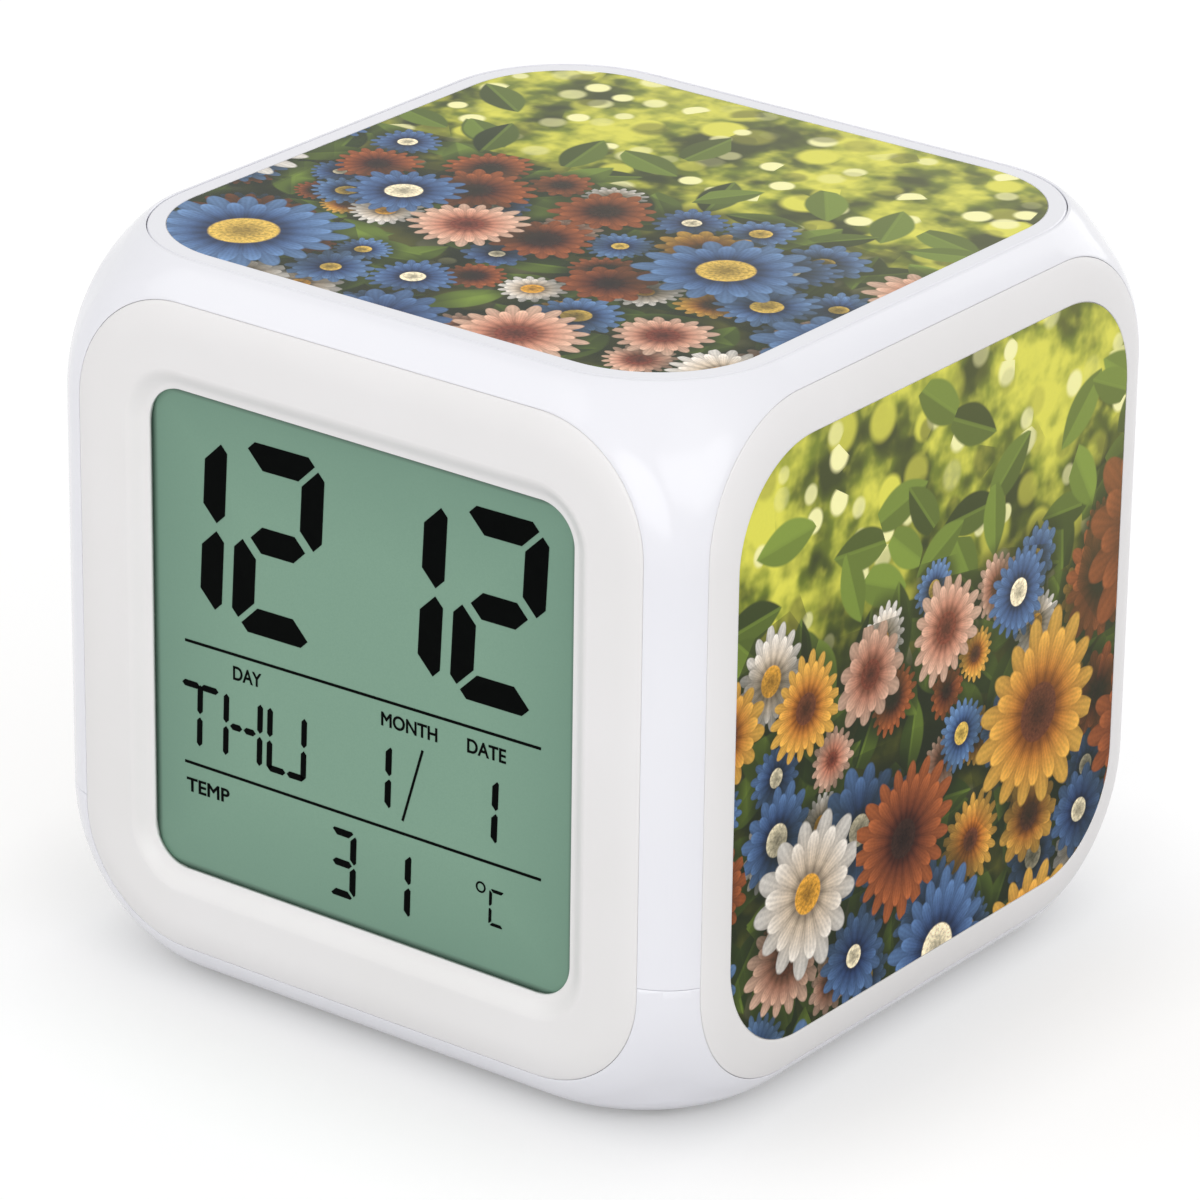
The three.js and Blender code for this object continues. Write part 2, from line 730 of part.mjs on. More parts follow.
// Tray open to both sides of its plate; its rear skirt stands only behind the board
function lcdHolder() {
  const shift = [0, above(windowMiddle)];
  const inner = [glassWidth + 2 * trayClearance, glassHeight + 2 * trayClearance];
  const outer = roundedRect(trayOuterWidth, trayOuterHeight, trayCorner);
  const plateNear = glassBack + trayClearance;
  const plateFar = plateNear + trayPlate;
  const skirtBottom = columnTop + 2 * seatGap;
  const slot = roundedRect(
    zebraWidth + 2 * trayClearance, zebraHeight + 2 * trayClearance, trayClearance,
  );
  return cut(
    slab('front', outer, panelWall + seatGap, bossEnd, shift),
    block('front', 0, above(skirtBottom / 2), cubeWidth, skirtBottom, plateFar, boardDepth),
    slab('front', roundedRect(...inner, glassCorner), 0, plateNear, shift, 1),
    slab('front', roundedRect(...inner, trayCorner - trayWall), plateFar, boardDepth, shift),
    slab('front', slot, 0, boardDepth, [0, above(zebraMiddle)], 1),
  );
}

function zebraStrip() {
  const shape = roundedRect(zebraWidth, zebraHeight, trayClearance);
  return slab('front', shape, glassBack + mountGap, boardDepth - mountGap, [0, above(zebraMiddle)], 1);
}

// Board with a narrow neck that clears the feet of the plate's posts
function mainBoard() {
  const [wide, neck] = [boardWidth / 2, boardNeckWidth / 2];
  const [bottom, shoulder, top] = [above(boardBottom), above(boardShoulder), above(boardTop)];
  const outline = new THREE.Shape([
    [-wide, bottom], [wide, bottom], [wide, shoulder], [neck, shoulder],
    [neck, top], [-neck, top], [-neck, shoulder], [-wide, shoulder],
  ].map(([x, y]) => new THREE.Vector2(x, y)));
  const far = boardDepth + boardThickness;
  return cut(
    slab('front', outline, boardDepth, far),
    pilots('front', bossPlaces, boardDepth - through, far),
  );
}

// Pan-head screw along local z, head up, underside of the head at the origin
function screw(radius, length, headRadius, headHeight) {
  const crown = headHeight * 0.45;
  return lathe([
    [0, -length], [radius * 0.6, -length], [radius, -length + radius * 0.6], [radius, 0],
    [headRadius, 0], [headRadius, crown], [headRadius * 0.7, headHeight], [0, headHeight],
  ], 8);
}

function domeLed() {
  const dome = [0, 1, 2].map((step) => step * Math.PI / 6).map((turn) => [
    ledRadius * Math.cos(turn), ledHeight - ledRadius + ledRadius * Math.sin(turn),
  ]);
  const flange = [
    [0, 0], [ledFlange, 0], [ledFlange, ledFlangeThickness], [ledRadius, ledFlangeThickness],
  ];
  return lathe([...flange, ...dome, [0, ledHeight]], 10);
}

function chipBlob() {
  return lathe([
    [0, 0], [chipRadius, 0], [chipRadius * 0.9, chipHeight * 0.5],
    [chipRadius * 0.5, chipHeight * 0.9], [0, chipHeight],
  ], 14);
}

// Place a mesh on a face: x and height as seen from outside, depth of its own origin, and which
// way its local z points
function placeOn(mesh, face, x, height, depth, inward = true) {
  const local = new THREE.Matrix4().makeTranslation(x, above(height), -depth);
  const turned = inward ? new THREE.Matrix4().makeRotationX(Math.PI) : new THREE.Matrix4();
  const matrix = faces[face].clone().multiply(local).multiply(turned);
  matrix.decompose(mesh.position, mesh.quaternion, mesh.scale);
}

// Snooze switch: its stem hangs in a bore and rides with the top plate

const snoozeAxisDepth = boardBack + snoozeBodyDepth / 2;
const snoozeStemTop = switchTop + snoozeStemRise;
const snoozeStemBottom = snoozeStemTop - snoozeStemHeight;

function snoozeRod(radius, low, high) {
  return rod('top', 0, snoozeAxisDepth - cubeDepth / 2, radius, topFace - high, topFace - low, 14);
}

function snoozeSwitch() {
  const middle = above(switchTop - snoozeBodyHeight / 2);
  const body = block('front', 0, middle, snoozeWidth, snoozeBodyHeight, boardBack,
    boardBack + snoozeBodyDepth);
  const boreBottom = snoozeStemBottom - plateTravel - stemClearance;
  return body.subtract(snoozeRod(snoozeStemRadius + stemClearance, boreBottom, switchTop + through));
}

// Top plate

function topPlate() {
  const [width, depth] = [topPlateWidth, topPlateDepth];
  const corner = topOpeningCorner - seamGap;
  const plate = loft('top', [
    [width - 2 * plateBevel, depth - 2 * plateBevel, corner - plateBevel, 0],
    [width - 0.6 * plateBevel, depth - 0.6 * plateBevel, corner - 0.3 * plateBevel, 0.3 * plateBevel],
    [width, depth, corner, plateBevel],
    [width, depth, corner, plateThickness],
  ]);
  const recess = roundedRect(
    topPictureWidth + 2 * pictureGap, topPictureDepth + 2 * pictureGap,
    topPictureCorner + pictureGap,
  );
  const ribEnd = plateThickness + ribDepth;
  const ribStart = plateThickness - fuse;
  const [spreadX, spreadY] = postSpread;
  const ribs = [-1, 1].flatMap((side) => [
    block('top', 0, side * spreadY, 2 * spreadX, ribThickness, ribStart, ribEnd),
    block('top', side * spreadX, 0, ribThickness, 2 * spreadY, ribStart, ribEnd),
  ]);
  const posts = quarters(postSpread).map(([x, y]) => guidePost(x, y));
  const springRooms = quarters(postSpread).map(([x, y]) => rod(
    'top', x, y, springOuter + springClearance, plateThickness, ribEnd + through, 12,
  ));
  const finger = snoozeRod(fingerRadius, snoozeStemTop + seatGap, topFace - ribStart);
  return join(
    plate.subtract(slab('top', recess, -through, pictureRecess)),
    cut(join(...ribs), ...springRooms),
    ...posts, finger,
  );
}

// Post with a split snap foot that catches under its shelf
function guidePost(x, y) {
  const root = topFace - plateThickness + fuse;
  const profile = [
    [0, postFootEnd], [postRadius * 0.8, postFootEnd], [postFootRadius, postFootTop - 0.4],
    [postFootRadius, postFootTop], [postRadius, postFootTop], [postRadius, root], [0, root],
  ];
  const slotLow = postFootEnd - through;
  const slot = new THREE.BoxGeometry(4 * postRadius, postSlot, shelfBottom - slotLow);
  slot.translate(0, 0, (shelfBottom + slotLow) / 2);
  return lathe(profile, 8).subtract(solid(slot)).translate([x, y, 0]);
}

const springInner = postRadius + springClearance;
const springOuter = springInner + springWire;

// Spring of one unbroken wire: 8 steps a turn, ends cut square
function helix(name, turns, height, baseRadius, tipRadius) {
  const steps = Math.round(turns * 8);
  const points = Array.from({ length: steps + 1 }, (_, step) => {
    const share = step / steps;
    const turn = share * turns * 2 * Math.PI;
    const radius = baseRadius + (tipRadius - baseRadius) * share;
    return new THREE.Vector3(radius * Math.cos(turn), radius * Math.sin(turn), share * height);
  });
  console.log(`${name}: least gap ${leastGap(points).toFixed(2)}`);
  return wireSolid(points);
}

function wireSolid(points, sides = 5) {
  const positions = [];
  const index = [];
  points.forEach((point, step) => {
    const ahead = points[Math.min(step + 1, points.length - 1)];
    const behind = points[Math.max(step - 1, 0)];
    const along = ahead.clone().sub(behind).normalize();
    const side = along.clone().cross(new THREE.Vector3(point.x, point.y, 0)).normalize();
    const out = side.clone().cross(along);
    for (let corner = 0; corner < sides; corner++) {
      const turn = corner / sides * 2 * Math.PI;
      const rim = point.clone().addScaledVector(out, Math.cos(turn) * springWire / 2)
        .addScaledVector(side, Math.sin(turn) * springWire / 2);
      positions.push(...rim.toArray());
    }
  });
  const last = (points.length - 1) * sides;
  for (let start = 0; start < last; start += sides) {
    for (let corner = 0; corner < sides; corner++) {
      const [a, b] = [start + corner, start + (corner + 1) % sides];
      index.push(a, b + sides, a + sides, a, b, b + sides);
    }
  }
  for (let corner = 1; corner + 1 < sides; corner++) {
    index.push(0, corner + 1, corner, last, last + corner, last + corner + 1);
  }
  const geometry = new THREE.BufferGeometry();
  geometry.setAttribute('position', new THREE.Float32BufferAttribute(positions, 3));
  geometry.setIndex(index);
  return solid(geometry);
}

// Least free gap between turns, from points more than half a turn apart
function leastGap(points) {
  const gaps = points.flatMap((point, index) => (
    points.slice(index + 5).map((other) => point.distanceTo(other) - springWire)
  ));
  return Math.min(...gaps);
}

const plateSpringFoot = shelfTop + seatGap + springWire / 2;

function plateSpring() {
  const head = topFace - plateThickness - seatGap - springWire / 2;
  const radius = springInner + springWire / 2;
  return helix('plate spring', springTurns, head - plateSpringFoot, radius, radius);
}

// Rear panel, its buttons and their board

function buttonPlaces() {
  const first = buttonInset - frontPanelWidth / 2;
  const pitch = -2 * first / (buttonCount - 1);
  return Array.from({ length: buttonCount }, (_, index) => first + index * pitch);
}

function rearPanel() {
  const doorway = roundedRect(2 * bayHalfWidth, bayHeight, doorCorner);
  const holes = buttonPlaces().map((x) => rod(
    'rear', x, above(buttonHeight), buttonRadius + buttonGap, -through, panelWall + through, 16,
  ));
  const catchGroove = block('rear', 0, above(bayTop), catchWidth + 2 * doorMargin,
    2 * (catchNib + doorMargin), catchNear - seatGap, panelWall + through);
  const end = earDepth - seatGap;
  return cut(
    join(panelShell('rear'), bosses('rear', keyBossPlaces, keyBossRadius, end)),
    slab('rear', doorway, -through, panelWall + through, [0, above(bayMiddle)], 2),
    pilots('rear', keyBossPlaces, panelWall + pilotFloor, end),
    catchGroove, ...holes,
  );
}

// Button along local z, pressed towards -z; its crown is at the origin
function buttonCap() {
  const flangeTop = buttonSunk - panelWall - seatGap;
  const flangeEnd = flangeTop - flangeThickness;
  const stemEnd = buttonSunk - stemDepth;
  return lathe([
    [0, stemEnd], [stemRadius, stemEnd], [stemRadius, flangeEnd], [flangeRadius, flangeEnd],
    [flangeRadius, flangeTop], [buttonRadius, flangeTop], [buttonRadius, -buttonBevel],
    [buttonRadius - buttonBevel, 0], [0, 0],
  ], 14);
}

function keySwitch(x) {
  const y = above(buttonHeight);
  const body = block('rear', x, y, keySwitchSize, keySwitchSize, switchFace, keyBoardDepth - mountGap);
  const boreEnd = stemDepth + buttonTravel + stemClearance;
  return body.subtract(rod('rear', x, y, stemRadius + stemClearance, switchFace - through, boreEnd, 14));
}

function keyBoard() {
  const far = keyBoardDepth + keyBoardThickness;
  const middle = above(keyBoardBottom + keyBoardHeight / 2);
  return cut(
    block('rear', 0, middle, keyBoardWidth, keyBoardHeight, keyBoardDepth, far),
    pilots('rear', keyBossPlaces, keyBoardDepth - through, far),
  );
}

// Battery bay

// Open box behind the rear panel; its upper ears share the key board's screws
function batteryBox() {
  const rim = panelWall + seatGap;
  const shift = [0, above(bayMiddle)];
  const outer = roundedRect(2 * boxHalfWidth, bayHeight + 2 * bayWall, doorCorner + bayWall);
  const inner = roundedRect(2 * bayHalfWidth, bayHeight, doorCorner);
  const tray = cut(
    slab('rear', outer, rim, bayEnd, shift, 2),
    slab('rear', inner, rim - through, bayDepth, shift, 2),
  );
  const ears = [-1, 1].map(batteryBoxEar);
  const notches = [-1, 1].map((side) => block(
    'rear', side * tongueSpread, above(bayBottom - bayWall / 2), tongueWidth + 4 * doorMargin,
    2 * bayWall, rim - through, tongueSweep,
  ));
  const tails = [0, cellCount - 1].map((index) => block(
    'rear', contactMiddle, above(cellHeight(index)), contactThickness + 2 * tailClearance,
    tailWidth + 2 * tailClearance, bayDepth - through, bayEnd + through,
  ));
  return cut(
    join(tray, ...ears),
    pilots('rear', keyBossPlaces, earDepth - through, earDepth + earThickness),
    ...notches, ...tails,
  );
}

// Shoulder beside the box with a lug that rises behind the key board's boss
function batteryBoxEar(side) {
  const [boxTop, lugTop] = [bayTop + bayWall, keyBossHeight + keyBossRadius];
  const shoulder = [boxHalfWidth - fuse, keyBossSpread + keyBossRadius, bayTop - earDrop, boxTop];
  const lug = [keyBossSpread - keyBossRadius, keyBossSpread + keyBossRadius, boxTop - fuse, lugTop];
  return join(...[shoulder, lug].map(([near, far, low, high]) => block(
    'rear', side * (near + far) / 2, above((low + high) / 2), far - near, high - low,
    earDepth, earDepth + earThickness,
  )));
}

function cellHeight(index) {
  return bayBottom + cellClearance + cellRadius + index * cellPitch;
}

// Cell along local z with its plus nub up, origin at its middle
function aaaCell() {
  const half = cellLength / 2;
  const shoulder = half - nubLength;
  return lathe([
    [0, -half], [cellRadius * 0.9, -half], [cellRadius, -half + 0.5], [cellRadius, shoulder - 0.5],
    [cellRadius * 0.9, shoulder], [nubRadius, shoulder], [nubRadius * 0.9, half], [0, half],
  ], 16);
}

// Contact sheet at one end of the bay, flat opposite a plus nub and with a spring opposite a minus
// end. Seen from the rear, side 1 is to the right, which is the clock's own left.
function contact(side, cells, springs, tail = false) {
  const x = side * contactMiddle;
  const [low, high] = [cellHeight(cells[0]), cellHeight(cells[cells.length - 1])];
  const sheet = block('rear', x, above((low + high) / 2), contactThickness,
    high - low + contactWidth, cellDepth - contactWidth / 2, cellDepth + contactWidth / 2);
  const parts = springs.map((index) => contactSpring(side, cellHeight(index)));
  if (tail) {
    parts.push(block('rear', x, above(low), contactThickness, tailWidth, cellDepth,
      bayEnd + tailLength));
  }
  return join(sheet, ...parts);
}

function contactSpring(side, height) {
  const spring = helix('contact spring', contactSpringTurns, contactSpringHeight,
    contactSpringBase, contactSpringTip);
  const place = new THREE.Matrix4().makeTranslation(
    side * (contactInner + contactSpringSink), above(height), -cellDepth,
  );
  const turn = new THREE.Matrix4().makeRotationY(-side * Math.PI / 2);
  return solid(geometryOf(spring), faces.rear.clone().multiply(place).multiply(turn));
}

// Battery door: tongues behind the panel's lower edge, catch at the top

const tongueNear = panelWall + tongueClearance;
const tongueFar = tongueNear + tongueThickness;
const tongueSweep = Math.hypot(tongueReach, tongueFar) + tongueClearance;

function batteryDoor() {
  const [width, height] = [2 * (bayHalfWidth - doorMargin), bayHeight - 2 * doorMargin];
  const top = bayTop - doorMargin;
  const catchMiddle = top - catchLength / 2;
  const cover = slab('rear', roundedRect(width, height, doorCorner - doorMargin), 0, panelWall,
    [0, above(bayMiddle)], 2);
  const slots = [-1, 1].map((side) => block(
    'rear', side * (catchWidth + 2 * catchSlot) / 2, above(catchMiddle + through / 2), catchSlot,
    catchLength + through, -through, panelWall + through,
  ));
  const scoop = new THREE.SphereGeometry(scoopRadius, 24, 16);
  scoop.translate(0, above(catchMiddle), scoopRadius - scoopDepth);
  const nib = block('rear', 0, above(top + catchNib - fuse), catchWidth, 2 * fuse, catchNear,
    catchNear + catchThickness);
  const ridges = Array.from({ length: ridgeCount }, (_, row) => block(
    'rear', 0, above(catchMiddle + (row - (ridgeCount - 1) / 2) * ridgePitch), catchWidth * 0.6,
    ridgeWidth, seatGap, through,
  ));
  return join(cut(cover, solid(scoop, faces.rear), ...slots), nib, ...ridges, ...tongues());
}

function tongues() {
  const bottom = bayBottom + doorMargin;
  return [-1, 1].map((side) => join(
    block('rear', side * tongueSpread, above(bottom + tongueRoot / 2), tongueWidth, tongueRoot,
      panelWall - fuse, tongueFar),
    block('rear', side * tongueSpread, above(bottom - tongueReach / 2 + fuse / 2), tongueWidth,
      tongueReach + fuse, tongueNear, tongueFar),
  ));
}

// Feet, buzzer and leads

function rubberFoot() {
  const bevel = 0.4;
  return lathe([
    [0, 0], [footRadius - bevel, 0], [footRadius, bevel], [footRadius, footHeight], [0, footHeight],
  ]);
}

// Buzzer with its port on top
function buzzerCan() {
  const [bevel, port] = [0.5, 2.2];
  return lathe([
    [0, 0], [buzzerRadius - bevel, 0], [buzzerRadius, bevel], [buzzerRadius, buzzerHeight],
    [port, buzzerHeight], [port, buzzerHeight - bevel], [0, buzzerHeight - bevel],
  ], 20);
}

// Lead from a tail behind the battery box, round the inside and square on to the main board
function lead(contactHeight, boardHeight) {
  const start = cubeDepth / 2 - bayEnd - tailLength - tailClearance;
  const end = boardBack + tailClearance - cubeDepth / 2;
  const points = [
    [-contactMiddle, start, contactHeight],
    [-contactMiddle, start - leadStraight, contactHeight],
    [-contactMiddle - leadBow * 0.7, start / 2, contactHeight + leadBow],
    [-contactMiddle - leadBow, 0, (contactHeight + boardHeight) / 2],
    [-contactMiddle, end / 2, boardHeight - leadBow],
    [-contactMiddle + leadBow, end + leadStraight, boardHeight],
    [-contactMiddle + leadBow, end, boardHeight],
  ].map((point) => new THREE.Vector3(...point));
  const section = new THREE.Shape().absarc(0, 0, leadRadius, 0, 2 * Math.PI);
  return solid(new THREE.ExtrudeGeometry(section, {
    steps: 18, curveSegments: 3, extrudePath: new THREE.CatmullRomCurve3(points),
  }));
}

// Assembly

const shell = frameShell();
addPiece('upper_frame', upperFrame(shell), finishes.frame);
addPiece('base_frame', baseFrame(shell), finishes.frame);
addPiece('front_bezel', frontBezel(), finishes.panel);
addPiece('right_panel', sidePanel('right'), finishes.panel);
addPiece('left_panel', sidePanel('left'), finishes.panel);
addPiece('rear_panel', rearPanel(), finishes.panel);
addPiece('right_picture', sidePicture('right'), finishes.picture);
addPiece('left_picture', sidePicture('left'), finishes.picture);
addPiece('top_plate', topPlate(), finishes.frame);
const topPicture = roundedRect(topPictureWidth, topPictureDepth, topPictureCorner);
addPiece('top_picture', slab('top', topPicture, pictureSunk, pictureSunk + pictureThickness),
  finishes.picture);

addPiece('lcd_glass', lcdGlass(), finishes.display);
addPiece('lcd_holder', lcdHolder(), finishes.white);
addPiece('zebra_strip', zebraStrip(), finishes.rubber);
addPiece('main_board', mainBoard(), finishes.board);

placeOn(addPiece('controller_chip', chipBlob(), finishes.black), 'front', 0, lampHeight, boardBack);
for (const [name, side] of [['left', -1], ['right', 1]]) {
  const lamp = addPiece(`glow_led_${name}`, domeLed(), finishes.lens);
  placeOn(lamp, 'front', side * ledSpread, lampHeight, boardBack);
}
bossPlaces.forEach(([x, height], index) => {
  const piece = screw(smallScrewRadius, boardBack - 2 * panelWall, smallHeadRadius, smallHeadHeight);
  placeOn(addPiece(`board_screw_${index + 1}`, piece, finishes.steel), 'front', x, height, boardBack);
});
addPiece('snooze_switch', snoozeSwitch(), finishes.black);
const snoozeStem = snoozeRod(snoozeStemRadius, snoozeStemBottom, snoozeStemTop);
addPiece('snooze_stem', snoozeStem, finishes.white);

quarters(postSpread).forEach(([x, y], index) => {
  const spring = addPiece(`plate_spring_${index + 1}`, plateSpring(), finishes.steel);
  spring.position.set(x, y, plateSpringFoot);
});
quarters(columnSpread).forEach(([x, y], index) => {
  const piece = screw(screwRadius, screwLength, screwHeadRadius, screwHeadHeight);
  const mesh = addPiece(`base_screw_${index + 1}`, piece, finishes.steel);
  mesh.position.set(x, y, screwSeat - seatGap);
  mesh.rotation.x = Math.PI;
});
quarters(footSpread).forEach(([x, y], index) => {
  addPiece(`foot_${index + 1}`, rubberFoot(), finishes.rubber).position.set(x, y, 0);
});

const buttonNames = ['mode', 'set', 'up', 'down'];
buttonPlaces().forEach((x, index) => {
  const cap = addPiece(`button_${buttonNames[index]}`, buttonCap(), finishes.panel);
  placeOn(cap, 'rear', x, buttonHeight, buttonSunk, false);
  addPiece(`key_switch_${index + 1}`, keySwitch(x), finishes.black);
});
addPiece('key_board', keyBoard(), finishes.board);
keyBossPlaces.forEach(([x, height], index) => {
  const depth = keyBoardDepth + keyBoardThickness + mountGap;
  const piece = screw(smallScrewRadius, depth - 2 * panelWall, smallHeadRadius, smallHeadHeight);
  placeOn(addPiece(`key_screw_${index + 1}`, piece, finishes.steel), 'rear', x, height, depth);
});

addPiece('battery_box', batteryBox(), finishes.white);
addPiece('battery_door', batteryDoor(), finishes.panel);
for (let index = 0; index < cellCount; index++) {
  const side = index % 2 ? -1 : 1;
  const cell = addPiece(`cell_${index + 1}`, aaaCell(), finishes.cell);
  cell.position.set(-side * (nubTip - cellLength / 2), cubeDepth / 2 - cellDepth, cellHeight(index));
  cell.rotation.y = -side * Math.PI / 2;
}
addPiece('contact_plus', contact(1, [0], [], true), finishes.steel);
addPiece('contact_minus', contact(1, [3], [3], true), finishes.steel);
addPiece('contact_bridge_left', contact(1, [1, 2], [1]), finishes.steel);
addPiece('contact_bridge_right_1', contact(-1, [0, 1], [0]), finishes.steel);
addPiece('contact_bridge_right_2', contact(-1, [2, 3], [2]), finishes.steel);
const [plusPad, minusPad] = [boardBottom + plusPadRise, boardBottom + minusPadRise];
addPiece('battery_lead_plus', lead(cellHeight(0), plusPad), finishes.red);
addPiece('battery_lead_minus', lead(cellHeight(3), minusPad), finishes.black);

const buzzer = addPiece('buzzer', buzzerCan(), finishes.black);
buzzer.position.set(0, 0, floorTop + seatGap);

export default clock;
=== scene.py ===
import math

import bmesh
import bpy
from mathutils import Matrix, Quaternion, Vector


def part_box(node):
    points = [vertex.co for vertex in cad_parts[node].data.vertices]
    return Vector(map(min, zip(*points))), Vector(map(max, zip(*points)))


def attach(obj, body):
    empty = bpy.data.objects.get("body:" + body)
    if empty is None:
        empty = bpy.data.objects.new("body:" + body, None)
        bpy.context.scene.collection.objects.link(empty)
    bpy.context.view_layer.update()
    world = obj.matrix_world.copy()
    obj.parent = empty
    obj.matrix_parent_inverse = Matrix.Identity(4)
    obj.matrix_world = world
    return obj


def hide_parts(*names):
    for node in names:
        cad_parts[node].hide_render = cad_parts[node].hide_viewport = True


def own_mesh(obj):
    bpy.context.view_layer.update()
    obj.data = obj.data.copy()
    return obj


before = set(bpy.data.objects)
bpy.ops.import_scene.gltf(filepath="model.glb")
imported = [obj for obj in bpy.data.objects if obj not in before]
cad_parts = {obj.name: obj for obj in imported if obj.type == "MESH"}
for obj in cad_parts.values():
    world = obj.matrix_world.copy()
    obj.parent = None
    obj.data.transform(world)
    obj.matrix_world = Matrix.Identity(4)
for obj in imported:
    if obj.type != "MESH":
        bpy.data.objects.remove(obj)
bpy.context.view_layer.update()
scene = bpy.context.scene
mm = 0.001
print("frame loaded:", len(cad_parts), "nodes")


# Shader nodes

# a node with its unlinked inputs set; a socket given as a value is linked
def add(tree, kind, **inputs):
    node = tree.nodes.new(kind)
    for name, value in inputs.items():
        setInput(node, name, value)
    return node


# an input goes by its name or its number
def setInput(node, name, value):
    if isinstance(value, bpy.types.NodeSocket):
        node.id_data.links.new(value, node.inputs[name])
    else:
        node.inputs[name].default_value = value


# the tree that holds the first socket among some values
def treeOf(*values):
    return next(value.id_data for value in values if isinstance(value, bpy.types.NodeSocket))


# the first output of a node whose inputs are set in their order
def joined(kind, *values):
    node = treeOf(*values).nodes.new(kind)
    for index, value in enumerate(values):
        setInput(node, index, value)
    return node.outputs[0]


def maths(operation, *values, clamp=False):
    node = treeOf(*values).nodes.new("ShaderNodeMath")
    node.operation = operation
    node.use_clamp = clamp
    for index, value in enumerate(values):
        setInput(node, index, value)
    return node.outputs[0]


def times(first, second):
    return maths("MULTIPLY", first, second)


def plus(first, second):
    return maths("ADD", first, second)


def minus(first, second):
    return maths("SUBTRACT", first, second)


def scaledPlus(value, factor, more):
    return maths("MULTIPLY_ADD", value, factor, more)


def mixColor(factor, first, second, mode="MIX", clamp=True):
    node = treeOf(factor, first, second).nodes.new("ShaderNodeMix")
    node.data_type = "RGBA"
    node.blend_type = mode
    node.clamp_factor = clamp
    for name, value in (("Factor", factor), ("A", first), ("B", second)):
        setInput(node, name, value)
    return node.outputs["Result"]


# the colour times a number
def brightened(color, factor):
    return mixColor(factor, (0, 0, 0, 1), color, clamp=False)


def ranged(value, low, high, toLow=0, toHigh=1, kind="LINEAR"):
    node = add(value.id_data, "ShaderNodeMapRange", Value=value)
    node.interpolation_type = kind
    for name, limit in (("From Min", low), ("From Max", high), ("To Min", toLow), ("To Max", toHigh)):
        setInput(node, name, limit)
    return node.outputs["Result"]


# 0 below low, 1 above high, smooth between; low and high may be swapped
def smooth(value, low, high):
    return ranged(value, low, high, kind="SMOOTHSTEP")


def noise(spot, scale, detail, roughness=0.5):
    return add(spot.id_data, "ShaderNodeTexNoise", Vector=spot, Scale=scale, Detail=detail,
               Roughness=roughness).outputs["Fac"]


def voronoi(spot, spread, feature="F1", scale=1.0, dimensions="2D"):
    node = add(spot.id_data, "ShaderNodeTexVoronoi", Vector=spot, Scale=scale, Randomness=spread)
    node.voronoi_dimensions = dimensions
    node.feature = feature
    return node.outputs


def apart(vector):
    return add(vector.id_data, "ShaderNodeSeparateXYZ", Vector=vector).outputs


def together(x, y):
    return add(x.id_data, "ShaderNodeCombineXYZ", X=x, Y=y).outputs[0]


noiseSpan = (0.3, 0.7)     # where most of a noise lies


# a noise stretched to go from one value to another
def between(value, low, high):
    return ranged(value, *noiseSpan, low, high)


def spreadRound(value, middle, spread):
    return between(value, middle - spread, middle + spread)


# a colour written as on screen, 0 to 255
def sRgb(red, green, blue):
    def linear(value):
        value /= 255
        return value / 12.92 if value <= 0.04045 else ((value + 0.055) / 1.055) ** 2.4

    return linear(red), linear(green), linear(blue), 1


# Camera, light and floor

def placed(name, data):
    item = bpy.data.objects.new(name, data)
    scene.collection.objects.link(item)
    return item


shot = {
    "azimuth": 37.12,
    "elevation": 23.18,
    "distance": 665.8,
    "target": (-0.55, 0, 35),
    "roll": 0.79,
    "lens": 199.37,
    "sensor": 36,
    "clipStart": 50,
}

# places and sizes in metres, powers in watts
lamps = {
    "key": {"place": (-0.8, -0.9, 0.95), "size": 1.3, "power": 2.5},
    "side": {"place": (1.15, -0.45, 0.7), "size": 1.0, "power": 3.15},
    "back": {"place": (0.15, 1.25, 0.5), "size": 1.0, "power": 2.3},
    "fill": {"place": (0.45, -1.2, 0.3), "size": 1.0, "power": 3.85},
}
lampAim = (0, 0, 0.04)

studio = {
    "skyLight": 0.69,
    "skyShown": 1.0,
    "floorSize": 6.0,
    "floorColor": (0.68, 0.68, 0.69, 1),      # for the light that it throws back
    "floorShown": (0.5, 0.5, 0.5, 1),         # as the camera sees it
    "floorLift": 0.6,
    "contact": {"reach": 0.022, "depth": 0.62},
}


def direction(azimuth, elevation):
    turn, rise = math.radians(azimuth), math.radians(elevation)
    level = math.cos(rise)
    return Vector((math.sin(turn) * level, -math.cos(turn) * level, math.sin(rise)))


def makeCamera():
    data = bpy.data.cameras.new("camera")
    data.lens = shot["lens"]
    data.sensor_width = shot["sensor"]
    data.clip_start = shot["clipStart"] * mm
    camera = placed("camera", data)
    back = direction(shot["azimuth"], shot["elevation"])
    camera.location = (Vector(shot["target"]) + back * shot["distance"]) * mm
    camera.rotation_mode = "QUATERNION"
    roll = Quaternion((0, 0, 1), math.radians(shot["roll"]))
    camera.rotation_quaternion = (-back).to_track_quat("-Z", "Y") @ roll
    scene.camera = camera


def makeLamps():
    for name, lamp in lamps.items():
        data = bpy.data.lights.new(name, "AREA")
        data.shape = "DISK"
        data.size = lamp["size"]
        data.energy = lamp["power"]
        light = placed(name, data)
        light.location = lamp["place"]
        aim = Vector(lampAim) - light.location
        light.rotation_euler = aim.to_track_quat("-Z", "Y").to_euler()


# 1 for the rays that show the background: camera, mirror and glass
def shownRays(tree):
    path = tree.nodes.new("ShaderNodeLightPath").outputs
    seen = maths("ADD", path["Is Camera Ray"], path["Is Glossy Ray"], clamp=True)
    return maths("ADD", seen, path["Is Transmission Ray"], clamp=True)


def makeWorld():
    world = bpy.data.worlds.new("studio")
    scene.world = world
    world.use_nodes = True
    tree = world.node_tree
    background = tree.nodes["Background"]
    setInput(background, "Color", (1, 1, 1, 1))
    strength = add(tree, "ShaderNodeMix", Factor=shownRays(tree), A=studio["skyLight"],
                   B=studio["skyShown"])
    setInput(background, "Strength", strength.outputs["Result"])


